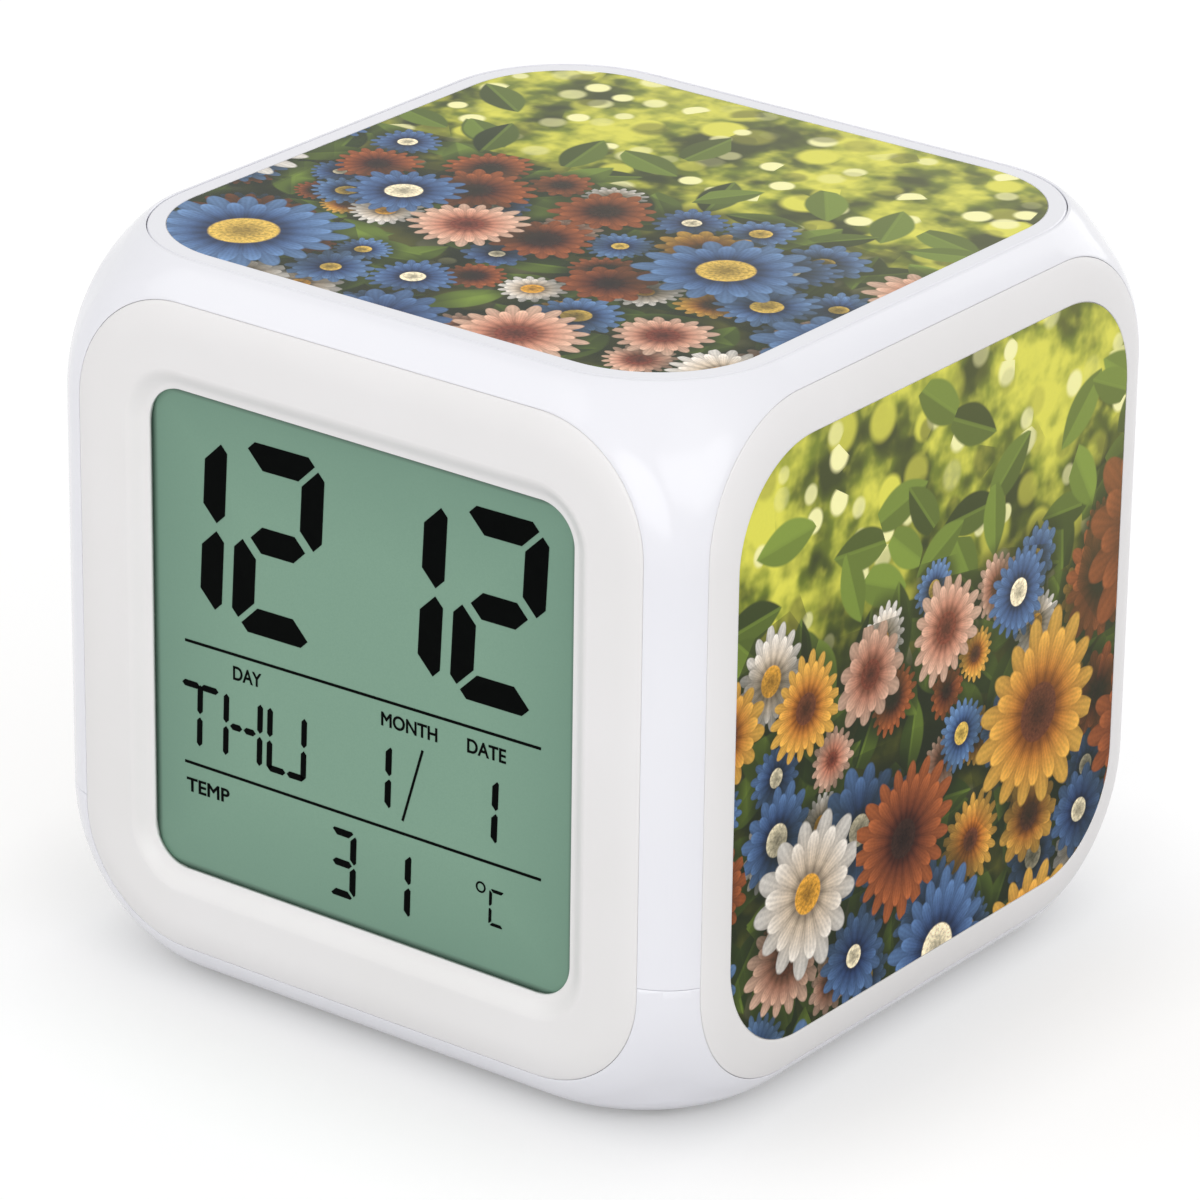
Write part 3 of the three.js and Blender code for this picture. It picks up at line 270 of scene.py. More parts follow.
# a pale floor, lifted to white where it is seen, with a soft shade round the feet; none from below
def floorMaterial():
    material = bpy.data.materials.new("floorPale")
    material.use_nodes = True
    tree = material.node_tree
    tree.nodes.clear()
    shown = shownRays(tree)
    color = mixColor(shown, studio["floorColor"], studio["floorShown"])
    diffuse = add(tree, "ShaderNodeBsdfDiffuse", Color=color).outputs[0]
    contact = studio["contact"]
    near = add(tree, "ShaderNodeAmbientOcclusion", Distance=contact["reach"]).outputs["AO"]
    glow = add(tree, "ShaderNodeEmission", Color=ranged(near, 0, 1, 1 - contact["depth"], 1),
               Strength=times(shown, studio["floorLift"])).outputs[0]
    below = tree.nodes.new("ShaderNodeNewGeometry").outputs["Backfacing"]
    clear = tree.nodes.new("ShaderNodeBsdfTransparent").outputs[0]
    lit = joined("ShaderNodeAddShader", diffuse, glow)
    sides = joined("ShaderNodeMixShader", below, lit, clear)
    add(tree, "ShaderNodeOutputMaterial", Surface=sides)
    return material


def makeFloor():
    half = studio["floorSize"] / 2
    mesh = bpy.data.meshes.new("floor")
    corners = [(-half, -half, 0), (half, -half, 0), (half, half, 0), (-half, half, 0)]
    mesh.from_pydata(corners, [], [(0, 1, 2, 3)])
    mesh.materials.append(floorMaterial())
    placed("floor", mesh)


makeCamera()
makeLamps()
makeWorld()
makeFloor()
scene.view_settings.view_transform = "Standard"
print("camera, lamps and floor")


# The rounded body, on which every outer panel is modelled

body = {
    "half": (40, 40, 38.8),
    "middle": 38.9,
    "radius": 8,          # of the rounded edges
    "faceCorner": 10,     # of each face's flat, in plan
    "wall": 3.2,
    "topFace": 76.4,
    "baseFace": 0.6,
    "arcSteps": 24,
    "crownSteps": 9,
    "cutEase": (1.2, 0.09),    # degrees and length by which the cut top and base start softly
    "overlap": 0.1,            # of the model's inner parts with the finer frame
    "cavity": (0.75, 0.5, 0.25, 0),     # shares of the edge's slope, for the rings inside
}

midArc = 0.29     # share of a rounding's radius at which its middle lies from the corner

faceAxes = {
    "front": ((1, 0, 0), (0, 0, 1), (0, -1, 0)),
    "rear": ((-1, 0, 0), (0, 0, 1), (0, 1, 0)),
    "right": ((0, 1, 0), (0, 0, 1), (1, 0, 0)),
    "left": ((0, -1, 0), (0, 0, 1), (-1, 0, 0)),
    "top": ((1, 0, 0), (0, 1, 0), (0, 0, 1)),
    "base": ((1, 0, 0), (0, -1, 0), (0, 0, -1)),
}


def halfAlong(axis):
    return sum(abs(share) * half for share, half in zip(axis, body["half"]))


# a point given across, up and behind a face's plane, in metres
def onFace(face, u, v, depth):
    across, up, out = (Vector(axis) for axis in faceAxes[face])
    reach = halfAlong(faceAxes[face][2])
    return (across * u + up * v + out * (reach - depth) + Vector((0, 0, body["middle"]))) * mm


# the corner signs and angle of each point round an outline
def quarterTurns():
    for quarter, (signU, signV) in enumerate(((1, 1), (-1, 1), (-1, -1), (1, -1))):
        for step in range(body["arcSteps"] + 1):
            yield signU, signV, math.radians(90) * (quarter + step / body["arcSteps"])


def outline(halfU, halfV, corner, shift=(0, 0)):
    return [
        (shift[0] + signU * (halfU - corner) + corner * math.cos(turn),
         shift[1] + signV * (halfV - corner) + corner * math.sin(turn))
        for signU, signV, turn in quarterTurns()
    ]


# gives the outline grown by a length
def growing(half, corner, shift=(0, 0)):
    return lambda by: outline(half[0] + by, half[1] + by, corner + by, shift)


def circle(u, v, radius):
    return outline(radius, radius, radius, (u, v))


def coreOf(face):
    across, up, _ = faceAxes[face]
    return halfAlong(across) - body["radius"], halfAlong(up) - body["radius"]


# how far the rounded body lies behind the face's plane there
def crown(face, u, v):
    coreU, coreV = coreOf(face)
    awayU = abs(u) - coreU + body["faceCorner"]
    awayV = abs(v) - coreV + body["faceCorner"]
    away = math.hypot(max(awayU, 0), max(awayV, 0)) + min(max(awayU, awayV), 0) - body["faceCorner"]
    away = min(max(away, 0), body["radius"])
    return body["radius"] - math.sqrt(body["radius"] ** 2 - away ** 2)


def flatRing(points, depth):
    return [(u, v, depth) for u, v in points]


def crownRing(face, points, below=0):
    return [(u, v, crown(face, u, v) + below) for u, v in points]


# rings on the crowned surface from one outline to another, the first left out
def crownBlend(face, start, end, steps):
    rings = []
    for step in range(1, steps + 1):
        share = step / steps
        points = [
            (a[0] + (b[0] - a[0]) * share, a[1] + (b[1] - a[1]) * share) for a, b in zip(start, end)
        ]
        rings.append(crownRing(face, points))
    return rings


def slopeRing(face, slopeAt, inset=0):
    coreU, coreV = coreOf(face)
    corner, radius = body["faceCorner"], body["radius"] - inset
    ring = []
    for signU, signV, turn in quarterTurns():
        slope = slopeAt(turn)
        reach = corner + radius * math.sin(slope)
        ring.append((signU * (coreU - corner) + reach * math.cos(turn),
                     signV * (coreV - corner) + reach * math.sin(turn),
                     body["radius"] - radius * math.cos(slope)))
    return ring


def edgeSlope(turn):
    return math.atan(1 / max(abs(math.cos(turn)), abs(math.sin(turn))))


def plateau(face):
    coreU, coreV = coreOf(face)
    return outline(coreU, coreV, body["faceCorner"])


def numbered(name, count=4):
    return [name + "_" + str(index) for index in range(1, count + 1)]


# a closed mesh as an object, with its doubles merged and its faces pointing out
def addPiece(name, points, faces):
    mesh = bpy.data.meshes.new(name)
    mesh.from_pydata(points, [], faces)
    closeMesh(mesh)
    return placed(name, mesh)


def closeMesh(mesh, distance=1e-6):
    work = bmesh.new()
    work.from_mesh(mesh)
    bmesh.ops.remove_doubles(work, verts=work.verts, dist=distance)
    bmesh.ops.recalc_face_normals(work, faces=work.faces)
    work.to_mesh(mesh)
    work.free()


def ringFaces(first, ringCount, pointCount, looped=False):
    faces = []
    for index in range(ringCount if looped else ringCount - 1):
        low = first + index * pointCount
        high = first + (index + 1) % ringCount * pointCount
        for point in range(pointCount):
            after = (point + 1) % pointCount
            faces.append((low + point, low + after, high + after, high + point))
    return faces


# a solid through rings on a face, capped at both ends unless it closes on itself
def loft(name, face, rings, looped=False):
    points = [onFace(face, *place) for ring in rings for place in ring]
    count = len(rings[0])
    faces = ringFaces(0, len(rings), count, looped)
    if not looped:
        faces.append(tuple(range(count)))
        faces.append(tuple(range(len(points) - count, len(points))))
    return addPiece(name, points, faces)


def cornerPoint(signs, normal, first, turn, slope, radius):
    second = 3 - normal - first
    corner = body["faceCorner"]
    reach = corner + radius * math.sin(slope)
    core = [half - body["radius"] for half in body["half"]]
    point = [0, 0, 0]
    point[normal] = signs[normal] * (core[normal] + radius * math.cos(slope))
    point[first] = signs[first] * (core[first] - corner + reach * math.cos(turn))
    point[second] = signs[second] * (core[second] - corner + reach * math.sin(turn))
    return Vector((point[0], point[1], point[2] + body["middle"])) * mm


# three ruled strips between the faces that meet in a corner, and the triangle they leave
def cornerPatch(signs, radius, points, faces):
    half = body["arcSteps"] // 2

    def rim(normal, first, step):
        turn = math.radians(90) * step / body["arcSteps"]
        return cornerPoint(signs, normal, first, turn, edgeSlope(turn), radius)

    for first, second in ((0, 1), (1, 2), (2, 0)):
        for step in range(half):
            start = len(points)
            points += [rim(first, second, step), rim(first, second, step + 1),
                       rim(second, first, step + 1), rim(second, first, step)]
            if step == 0:
                faces.append((start, start + 1, start + 2))
            else:
                faces.append((start, start + 1, start + 2, start + 3))
    start = len(points)
    points += [rim(0, 1, half), rim(1, 2, half), rim(2, 0, half)]
    faces.append((start, start + 1, start + 2))


# the whole body as one solid: faceRings gives the rings of a face inside its rim
def roundedBody(name, inset, faceRings):
    points, faces = [], []
    radius = body["radius"] - inset
    for face in faceAxes:
        rings = [slopeRing(face, edgeSlope, inset), *faceRings(face)]
        start = len(points)
        points += [onFace(face, *place) for ring in rings for place in ring]
        count = len(rings[0])
        faces += ringFaces(start, len(rings), count)
        faces.append(tuple(range(len(points) - count, len(points))))
    for signX in (-1, 1):
        for signY in (-1, 1):
            for signZ in (-1, 1):
                cornerPatch((signX, signY, signZ), radius, points, faces)
    return addPiece(name, points, faces)


# its modifiers become its mesh
def settle(piece):
    graph = bpy.context.evaluated_depsgraph_get()
    mesh = bpy.data.meshes.new_from_object(piece.evaluated_get(graph))
    piece.modifiers.clear()
    piece.data = mesh


# joins, cuts or intersects with other solids, which are used up
def combine(piece, operation, *tools):
    for tool in tools:
        modifier = piece.modifiers.new("combine", "BOOLEAN")
        modifier.operation = operation
        modifier.solver = "MANIFOLD"
        modifier.object = tool
        settle(piece)
        bpy.data.objects.remove(tool)
    return piece


# a merged copy of a CAD node, for joining its inner parts to a finer shell
def nodeCopy(node):
    piece = placed(node + "_copy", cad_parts[node].data.copy())
    closeMesh(piece.data)
    piece.data.materials.clear()
    return piece


def box(low, high):
    points = [Vector((x, y, z)) * mm for x in (low[0], high[0]) for y in (low[1], high[1])
              for z in (low[2], high[2])]
    faces = [(0, 1, 3, 2), (4, 6, 7, 5), (0, 4, 5, 1), (2, 3, 7, 6), (0, 2, 6, 4), (1, 5, 7, 3)]
    return addPiece("box", points, faces)


# a block given on a face: middle and size across and up, and its depths
def faceBox(face, middle, size, near, far):
    (u, v), (width, height) = middle, size
    places = [onFace(face, u + a * width / 2, v + b * height / 2, depth)
              for depth in (near, far) for a, b in ((-1, -1), (1, -1), (1, 1), (-1, 1))]
    return addPiece("block", places, [(0, 1, 2, 3), (4, 5, 6, 7), *ringFaces(0, 2, 4)])


def innerParts(node, region):
    return combine(nodeCopy(node), "INTERSECT", region)


# smooth shading with true edges, the large faces kept flat
def shadeFaces(piece, angle=32):
    piece.data.shade_smooth()
    piece.data.set_sharp_from_angle(angle=math.radians(angle))
    modifier = piece.modifiers.new("normals", "WEIGHTED_NORMAL")
    modifier.keep_sharp = True
    settle(piece)


def setFinish(item, material):
    item.data.materials.clear()
    item.data.materials.append(material)


# gives a finished piece its material and body, and hides the CAD nodes it stands for
def dress(piece, material, ridesOn="case", replaces=()):
    setFinish(piece, material)
    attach(piece, ridesOn)
    if replaces:
        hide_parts(*replaces)


# Materials

# gives a material with its shader and the object's own coordinates
def newMaterial(name, roughness, metallic=0.0):
    material = bpy.data.materials.new(name)
    material.use_nodes = True
    tree = material.node_tree
    shader = tree.nodes["Principled BSDF"]
    setInput(shader, "Roughness", roughness)
    setInput(shader, "Metallic", metallic)
    return material, shader, tree.nodes.new("ShaderNodeTexCoord").outputs["Object"]


def paint(shader, color, roughness):
    setInput(shader, "Base Color", color)
    setInput(shader, "Roughness", roughness)


# bump layers, each a height with its strength and depth in millimetres
def bump(shader, *layers):
    below = {}
    for height, strength, depth in layers:
        node = add(shader.id_data, "ShaderNodeBump", Height=height, Strength=strength,
                   Distance=depth * mm, **below)
        below["Normal"] = node.outputs["Normal"]
    setInput(shader, "Normal", below["Normal"])


# noises by scale, detail and roughness
moulding = {
    "drift": (38, 3),
    "gloss": (160, 4, 0.6),
    "wave": (55, 1),
    "waveDepth": 0.4,
    "skinDetail": 2,
    "skinDepth": 0.01,
    "coatRoughness": 0.08,
}

insulation = {"roughness": 0.42, "spread": 0.06, "skin": 0.3, "skinScale": 2400, "wave": 0.1}

plastics = {
    "frameGloss": {"color": sRgb(242, 242, 247), "shade": sRgb(238, 238, 244), "roughness": 0.2,
                   "spread": 0.03, "skin": 0.12, "skinScale": 1500, "wave": 0.05, "coat": 0.35},
    "panelSatin": {"color": sRgb(241, 239, 239), "shade": sRgb(237, 235, 234), "roughness": 0.34,
                   "spread": 0.04, "skin": 0.25, "skinScale": 2600, "wave": 0.04},
    "innerWhite": {"color": sRgb(236, 236, 232), "shade": sRgb(226, 226, 222), "roughness": 0.5,
                   "spread": 0.06, "skin": 0.3, "skinScale": 1800, "wave": 0.08},
    "blackPlastic": {"color": sRgb(34, 34, 36), "shade": sRgb(26, 26, 28), "roughness": 0.45,
                     "spread": 0.08, "skin": 0.4, "skinScale": 1600, "wave": 0.1},
    "rubberGrey": {"color": sRgb(66, 66, 68), "shade": sRgb(54, 54, 57), "roughness": 0.8,
                   "spread": 0.08, "skin": 0.6, "skinScale": 900, "wave": 0.15},
    "redInsulation": {**insulation, "color": sRgb(176, 34, 30), "shade": sRgb(156, 28, 26)},
    "blackInsulation": {**insulation, "color": sRgb(30, 30, 32), "shade": sRgb(22, 22, 24)},
}


# moulded plastic: slow drift of tone, faint flow and sink, a fine skin and uneven gloss
def mouldedPlastic(name, settings):
    material, shader, spot = newMaterial(name, settings["roughness"])
    tone = between(noise(spot, *moulding["drift"]), 0, 1)
    gloss = spreadRound(noise(spot, *moulding["gloss"]), settings["roughness"], settings["spread"])
    paint(shader, mixColor(tone, settings["color"], settings["shade"]), gloss)
    wave = noise(spot, *moulding["wave"])
    skin = noise(spot, settings["skinScale"], moulding["skinDetail"])
    bump(shader, (wave, settings["wave"], moulding["waveDepth"]),
         (skin, settings["skin"], moulding["skinDepth"]))
    setInput(shader, "Coat Weight", settings.get("coat", 0))
    setInput(shader, "Coat Roughness", moulding["coatRoughness"])
    return material


# noises by scale, detail and roughness; bumps by strength and depth
metalWear = {"metallic": 1.0, "grain": (420, 4, 0.6), "stretched": True, "skin": (5200, 2),
             "skinBump": (0.2, 0.006)}

grained = {
    "springSteel": {"colors": (sRgb(206, 206, 204), sRgb(176, 176, 176)), "roughness": 0.3,
                    "roughSpan": (0.23, 0.4), **metalWear},
    "zincSteel": {"colors": (sRgb(200, 202, 206), sRgb(164, 166, 172)), "roughness": 0.36,
                  "roughSpan": (0.29, 0.46), **metalWear},
    "clearPlastic": {"colors": (sRgb(238, 244, 250), sRgb(222, 232, 242)), "roughness": 0.08,
                     "roughSpan": (0.06, 0.14), "grain": (700, 2), "skin": (1500, 2),
                     "skinBump": (0.1, 0.01), "sockets": {"Transmission Weight": 0.85}},
    "displayInk": {"colors": (sRgb(2, 3, 3), sRgb(6, 8, 7)), "roughness": 0.4,
                   "roughSpan": (0.36, 0.46), "grain": (900, 2), "skin": (5200, 2),
                   "skinBump": (0.12, 0.004), "sockets": {"Specular IOR Level": 0.02}},
    "cardEdge": {"colors": (sRgb(244, 243, 240), sRgb(232, 231, 226)), "roughness": 0.6,
                 "grain": (6000, 3), "skin": (6000, 3), "skinBump": (0.3, 0.005)},
}


# a finish whose tone and gloss follow one noise, over the bump of another
def grainedMaterial(name, look):
    material, shader, spot = newMaterial(name, look["roughness"], look.get("metallic", 0.0))
    grain = noise(spot, *look["grain"])
    tone = between(grain, 0, 1) if look.get("stretched") else grain
    setInput(shader, "Base Color", mixColor(tone, *look["colors"]))
    if "roughSpan" in look:
        setInput(shader, "Roughness", between(grain, *look["roughSpan"]))
    for socket, value in look.get("sockets", {}).items():
        setInput(shader, socket, value)
    bump(shader, (noise(spot, *look["skin"]), *look["skinBump"]))
    return material


boardLook = {
    "mask": sRgb(24, 92, 54),
    "track": sRgb(46, 124, 74),
    "tin": sRgb(200, 202, 198),
    "tracks": {"scale": 320.0, "randomness": 0.55, "edge": (0.09, 0.05), "bump": (0.4, 0.04)},
    "pads": {"scale": 260.0, "randomness": 0.4, "edge": (0.17, 0.14), "bump": (0.4, 0.06)},
    "metallic": 0.9,
    "gloss": (300, 3),
    "roughness": 0.35,
    "roughSpan": (0.3, 0.42),
}


# green mask over tracks, with tinned pads
def circuitBoard():
    look = boardLook
    material, shader, spot = newMaterial("circuitBoard", look["roughness"])
    layers = []
    for name, feature in (("tracks", "DISTANCE_TO_EDGE"), ("pads", "F1")):
        cells = voronoi(spot, look[name]["randomness"], feature, look[name]["scale"], "3D")
        layers.append(smooth(cells["Distance"], *look[name]["edge"]))
    track, pad = layers
    color = mixColor(pad, mixColor(track, look["mask"], look["track"]), look["tin"])
    paint(shader, color, between(noise(spot, *look["gloss"]), *look["roughSpan"]))
    setInput(shader, "Metallic", times(pad, look["metallic"]))
    bump(shader, (track, *look["tracks"]["bump"]), (pad, *look["pads"]["bump"]))
    return material


jacketLook = {
    "jacket": (sRgb(30, 33, 38), sRgb(40, 43, 49)),
    "band": (sRgb(196, 132, 72), sRgb(206, 146, 88)),
    "metal": (sRgb(206, 208, 208), sRgb(186, 188, 190)),
    "bandZone": (0.22, 0.28),
    "metalZone": (0.72, 0.78),
    "bandMetallic": 0.35,
    "moreMetallic": 0.65,
    "wear": (260, 3),
    "roughness": 0.3,
    "roughSpan": (0.24, 0.36),
    "skin": (3000, 2),
    "skinBump": (0.15, 0.006),
}


# printed jacket, band and bare metal, told apart by the attribute "zone": 0, 0.5 and 1
def cellJacket():
    look = jacketLook
    material, shader, spot = newMaterial("cellJacket", look["roughness"])
    zone = add(spot.id_data, "ShaderNodeAttribute")
    zone.attribute_name = "zone"
    wear = noise(spot, *look["wear"])
    band, bare = (smooth(zone.outputs["Fac"], *look[name]) for name in ("bandZone", "metalZone"))
    color = mixColor(wear, *look["jacket"])
    color = mixColor(band, color, mixColor(wear, *look["band"]))
    color = mixColor(bare, color, mixColor(wear, *look["metal"]))
    paint(shader, color, between(wear, *look["roughSpan"]))
    metallic = scaledPlus(band, look["bandMetallic"], times(bare, look["moreMetallic"]))
    setInput(shader, "Metallic", metallic)
    bump(shader, (noise(spot, *look["skin"]), *look["skinBump"]))
    return material


finishes = {
    **{name: mouldedPlastic(name, settings) for name, settings in plastics.items()},
    **{name: grainedMaterial(name, look) for name, look in grained.items()},
    "circuitBoard": circuitBoard(),
    "cellJacket": cellJacket(),
}


# Frame

panelOutlines = {
    "front": (34.35, 34.2, 12.4),
    "rear": (34.35, 34.2, 12.4),
    "right": (35.8, 35.1, 13.8),
    "left": (35.8, 35.1, 13.8),
}

seams = {
    "gap": 0.03,          # shown round a panel
    "rounding": 0.1,      # of the edges on both sides of it
    "walls": {"front": 1.8, "rear": 1.8, "right": 2.8, "left": 2.8},
    "overlap": 0.05,      # of the model's inner parts with a finer panel
    "seat": 0.2,
    "lip": 1.6,
    "openingDepth": 3.6,
    "level": 17.9,        # joint between the upper frame and the base
    "levelGap": 0.04,
    "levelChamfer": 0.07,
    "plateLand": 0.2,     # flat left on the frame round the top plate
    # growth and depth of the top opening, from its rounded mouth down
    "hatch": ((0.2, -0.2), (0.1, -0.02), (0.03, 0.03), (0, 0.1), (0, 5.9)),
}


def grown(face, by):
    *half, corner = panelOutlines[face]
    return growing(half, corner)(by)


# how far the flat top or base lies behind its face's plane
def flatDrop(face):
    if face == "top":
        return body["middle"] + body["half"][2] - body["topFace"]
    return body["baseFace"] - body["middle"] + body["half"][2]


# the slope at which that flat cuts the rounded edge
def cutSlope(face):
    return math.acos(1 - flatDrop(face) / body["radius"])


# from the rim inwards: the crown, the rounded edge, and the wall of the seat behind it
def frameRings(face):
    if face in ("top", "base"):
        slope = cutSlope(face)
        turned, shorter = body["cutEase"]
        rings = []
        for step in range(1, body["crownSteps"] + 1):
            share = step / body["crownSteps"]
            soft = math.radians(turned) if step == body["crownSteps"] else 0
            rings.append(slopeRing(face, lambda turn: edgeSlope(turn) * (1 - share)
                                   + (slope + soft) * share))
        reach = body["radius"] * math.sin(slope) - shorter
        edge = growing(coreOf(face), body["faceCorner"])(reach)
        return [*rings, flatRing(edge, flatDrop(face))]
    soft = seams["rounding"]
    rim = [(u, v) for u, v, _ in slopeRing(face, edgeSlope)]
    wall = seams["walls"][face] + seams["seat"]
    return [
        *crownBlend(face, rim, grown(face, soft), body["crownSteps"]),
        crownRing(face, grown(face, soft * midArc), soft * midArc),
        crownRing(face, grown(face, 0), soft),
        flatRing(grown(face, 0), wall),
    ]


def plateauRings(inset):
    def rings(face):
        return [slopeRing(face, lambda turn, share=share: edgeSlope(turn) * share, inset)
                for share in body["cavity"]]

    return rings


# cutters for the openings behind the panels, and the one round the top plate
def openings():
    cutters = []
    for face in panelOutlines:
        points = grown(face, -seams["lip"])
        depths = seams["walls"][face], seams["openingDepth"]
        cutters.append(loft("opening", face, [flatRing(points, depth) for depth in depths]))
    reach = body["radius"] * math.sin(cutSlope("top")) - seams["plateLand"]
    around = growing(coreOf("top"), body["faceCorner"])
    rings = [flatRing(around(reach + by), flatDrop("top") + depth) for by, depth in seams["hatch"]]
    return [*cutters, loft("hatch", "top", rings)]


# what lies above or below the level seam, with a chamfer where it meets the outside
def levelTool(side):
    chamfer, far = seams["levelChamfer"], body["half"][2] * 2
    start = seams["level"] + side * seams["levelGap"] / 2
    around = growing(body["half"][:2], body["radius"])
    rings = []
    for rise, by in ((0, -chamfer), (3 * chamfer, 2 * chamfer), (far, 2 * chamfer)):
        depth = body["middle"] + body["half"][2] - (start + side * rise)
        rings.append(flatRing(around(by), depth))
    return loft("level", "top", rings)


# rings down a softened edge: ringAt gives its outline grown by a length
def softRings(ringAt, edge, level=0):
    return [flatRing(ringAt(by), level + fall)
            for by, fall in ((edge, 0), (edge * midArc, edge * midArc), (0, edge))]


# a cutter that leaves a softened edge on a face, or on a level below it
def softCutter(face, ringAt, edge, depth, level=0):
    return loft("cutter", face, [flatRing(ringAt(2 * edge), level - edge),
                                 *softRings(ringAt, edge, level), flatRing(ringAt(0), depth)])


# recesses for the feet, holes for the screws and the sound
baseCuts = {
    "foot": {"radius": 4.7, "deep": 1.6},
    "base_screw": {"radius": 2.55, "deep": 8.9},
    "sound": {"radius": 1.0, "circle": 5.0, "count": 6, "deep": 4.0},
    "edge": 0.15,
}


def nodeMiddle(node):
    low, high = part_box(node)
    return (low + high) / 2 / mm


# a round cutter on the base, which is seen from below
def baseCutter(x, y, settings):
    return softCutter("base", lambda by: circle(x, -y, settings["radius"] + by), baseCuts["edge"],
                      settings["deep"], flatDrop("base"))


def cutBase(piece):
    cutters = []
    for kind in ("foot", "base_screw"):
        for node in numbered(kind):
            middle = nodeMiddle(node)
            cutters.append(baseCutter(middle.x, middle.y, baseCuts[kind]))
    sound = baseCuts["sound"]
    cutters.append(baseCutter(0, 0, sound))
    for index in range(sound["count"]):
        turn = 2 * math.pi * index / sound["count"]
        cutters.append(baseCutter(sound["circle"] * math.cos(turn), sound["circle"] * math.sin(turn),
                                  sound))
    combine(piece, "DIFFERENCE", *cutters)


def makeFrame():
    shell = roundedBody("shell", 0, frameRings)
    combine(shell, "DIFFERENCE", roundedBody("hollow", body["wall"], plateauRings(body["wall"])))
    for node, side in (("upper_frame", 1), ("base_frame", -1)):
        piece = placed(node.replace("_frame", "_shell"), shell.data.copy())
        combine(piece, "INTERSECT", levelTool(side))
        inset = body["wall"] - body["overlap"]
        region = roundedBody("region", inset, plateauRings(inset))
        combine(piece, "UNION", innerParts(node, region))
        combine(piece, "DIFFERENCE", *openings())
        if node == "base_frame":
            cutBase(piece)
        shadeFaces(piece)
        dress(piece, finishes["frameGloss"], replaces=[node])
    bpy.data.objects.remove(shell)


makeFrame()
print("frame")


# Panels

bezelWindow = {
    "half": (25.9, 25.4),
    "corner": 4,
    "drop": 0.2,          # below the body's middle
    "dishWidth": 2.3,
    "dishDepth": 1.0,
    "dishSteps": 10,
    "edge": 0.12,         # rounding of the window's edge
    "lip": 0.4,
    "pocket": (27.45, 27.55),
    "pocketCorner": 0.8,
}


# rings of a panel's outer side: wall, rounded edge and crown, in to the flat
def panelShell(face):
    inset = seams["gap"]
    soft = seams["rounding"]
    return [
        flatRing(grown(face, -inset), seams["walls"][face]),
        crownRing(face, grown(face, -inset), soft),
        crownRing(face, grown(face, -inset - soft * midArc), soft * midArc),
        crownRing(face, grown(face, -inset - soft)),
        *crownBlend(face, grown(face, -inset - soft), plateau(face), body["crownSteps"]),
    ]


# the room behind the wall of the front or the rear, where the model's inner parts are kept
def roomBehind(face):
    far = body["half"][1] - seams["walls"][face] + seams["overlap"]
    near, far = (-far, 0) if face == "front" else (0, far)
    side = body["half"][0]
    return box((-side, near, 0), (side, far, 2 * side))


def makeBezel():
    window = bezelWindow
    shift = (0, -window["drop"])
    around = growing(window["half"], window["corner"], shift)
    rings = panelShell("front")
    for step in range(window["dishSteps"] + 1):
        share = step / window["dishSteps"]
        fall = share * share * (3 - 2 * share) * window["dishDepth"]
        by = window["dishWidth"] * (1 - share) + window["edge"]
        rings.append(flatRing(around(by), fall))
    edge = window["edge"]
    pocket = outline(*window["pocket"], window["pocketCorner"], shift)
    bottom = window["dishDepth"] + window["lip"]
    rings += [
        *softRings(around, edge, window["dishDepth"])[1:],
        flatRing(around(0), bottom),
        flatRing(pocket, bottom),
        flatRing(pocket, seams["walls"]["front"]),
    ]
    piece = loft("bezel", "front", rings, looped=True)
    return combine(piece, "UNION", innerParts("front_bezel", roomBehind("front")))


sidePrint = {"half": (32.38, 30.98), "corner": 11.08, "gap": 0.05, "recess": 0.5, "sunk": 0.03,
             "thickness": 0.4, "edge": 0.05}
topPrint = {**sidePrint, "half": (34.18, 34.18), "corner": 12.08}


def recessRings(settings, level=0):
    gap = settings["gap"]
    around = growing([half + gap for half in settings["half"]], settings["corner"] + gap)
    floor = flatRing(around(0), level + settings["recess"])
    return [*softRings(around, settings["edge"], level), floor]


def makeSidePanel(face):
    rings = panelShell(face)
    # the print's seat reaches a hair past the flat, where the crown has barely begun
    return loft(face + "_panel_shell", face, [*rings[:-1], *recessRings(sidePrint)])


def makePrint(name, face, settings, level=0):
    halfU, halfV = settings["half"]
    corner, edge = settings["corner"], settings["edge"]
    near = level + settings["sunk"]
    rings = [
        flatRing(outline(halfU, halfV, corner), near + settings["thickness"]),
        flatRing(outline(halfU, halfV, corner), near + edge),
        flatRing(outline(halfU - edge * midArc, halfV - edge * midArc, corner), near + edge * midArc),
        flatRing(outline(halfU - edge, halfV - edge, corner - edge), near),
    ]
    return loft(name, face, rings)


topPlate = {
    "half": (36.12, 36.12),
    "corner": 14.12,
    "edge": 0.3,
    "edgeArc": (0.13, 0.5),   # shares of the edge, for the two rings on its rounding
    "thickness": 2,
    "fingerFlat": ((-3, -29.5, 66), (3, -28.72, 68.5)),      # room beside the main board
}


# the press plate; its posts, ribs and finger are the model's own
def makeTopPlate():
    level, edge = flatDrop("top"), topPlate["edge"]
    less, more = topPlate["edgeArc"]
    around = growing(topPlate["half"], topPlate["corner"])
    rings = [
        flatRing(around(0), level + topPlate["thickness"]),
        flatRing(around(0), level + edge),
        flatRing(around(-edge * less), level + edge * more),
        flatRing(around(-edge * more), level + edge * less),
        flatRing(around(-edge), level),
        *recessRings(topPrint, level),
    ]
    plate = loft("press_plate", "top", rings)
    side = body["half"][0]
    below = body["topFace"] - topPlate["thickness"] + seams["overlap"]
    under = box((-side, -side, 0), (side, side, below))
    plate = combine(plate, "UNION", innerParts("top_plate", under))
    return combine(plate, "DIFFERENCE", box(*topPlate["fingerFlat"]))


doorway = {"half": (24.4, 22.3), "corner": 2.5, "middle": -5.8, "edge": 0.15}
buttonRow = {"places": (-21, -7, 7, 21), "height": 23.5, "hole": 3.1, "edge": 0.15}
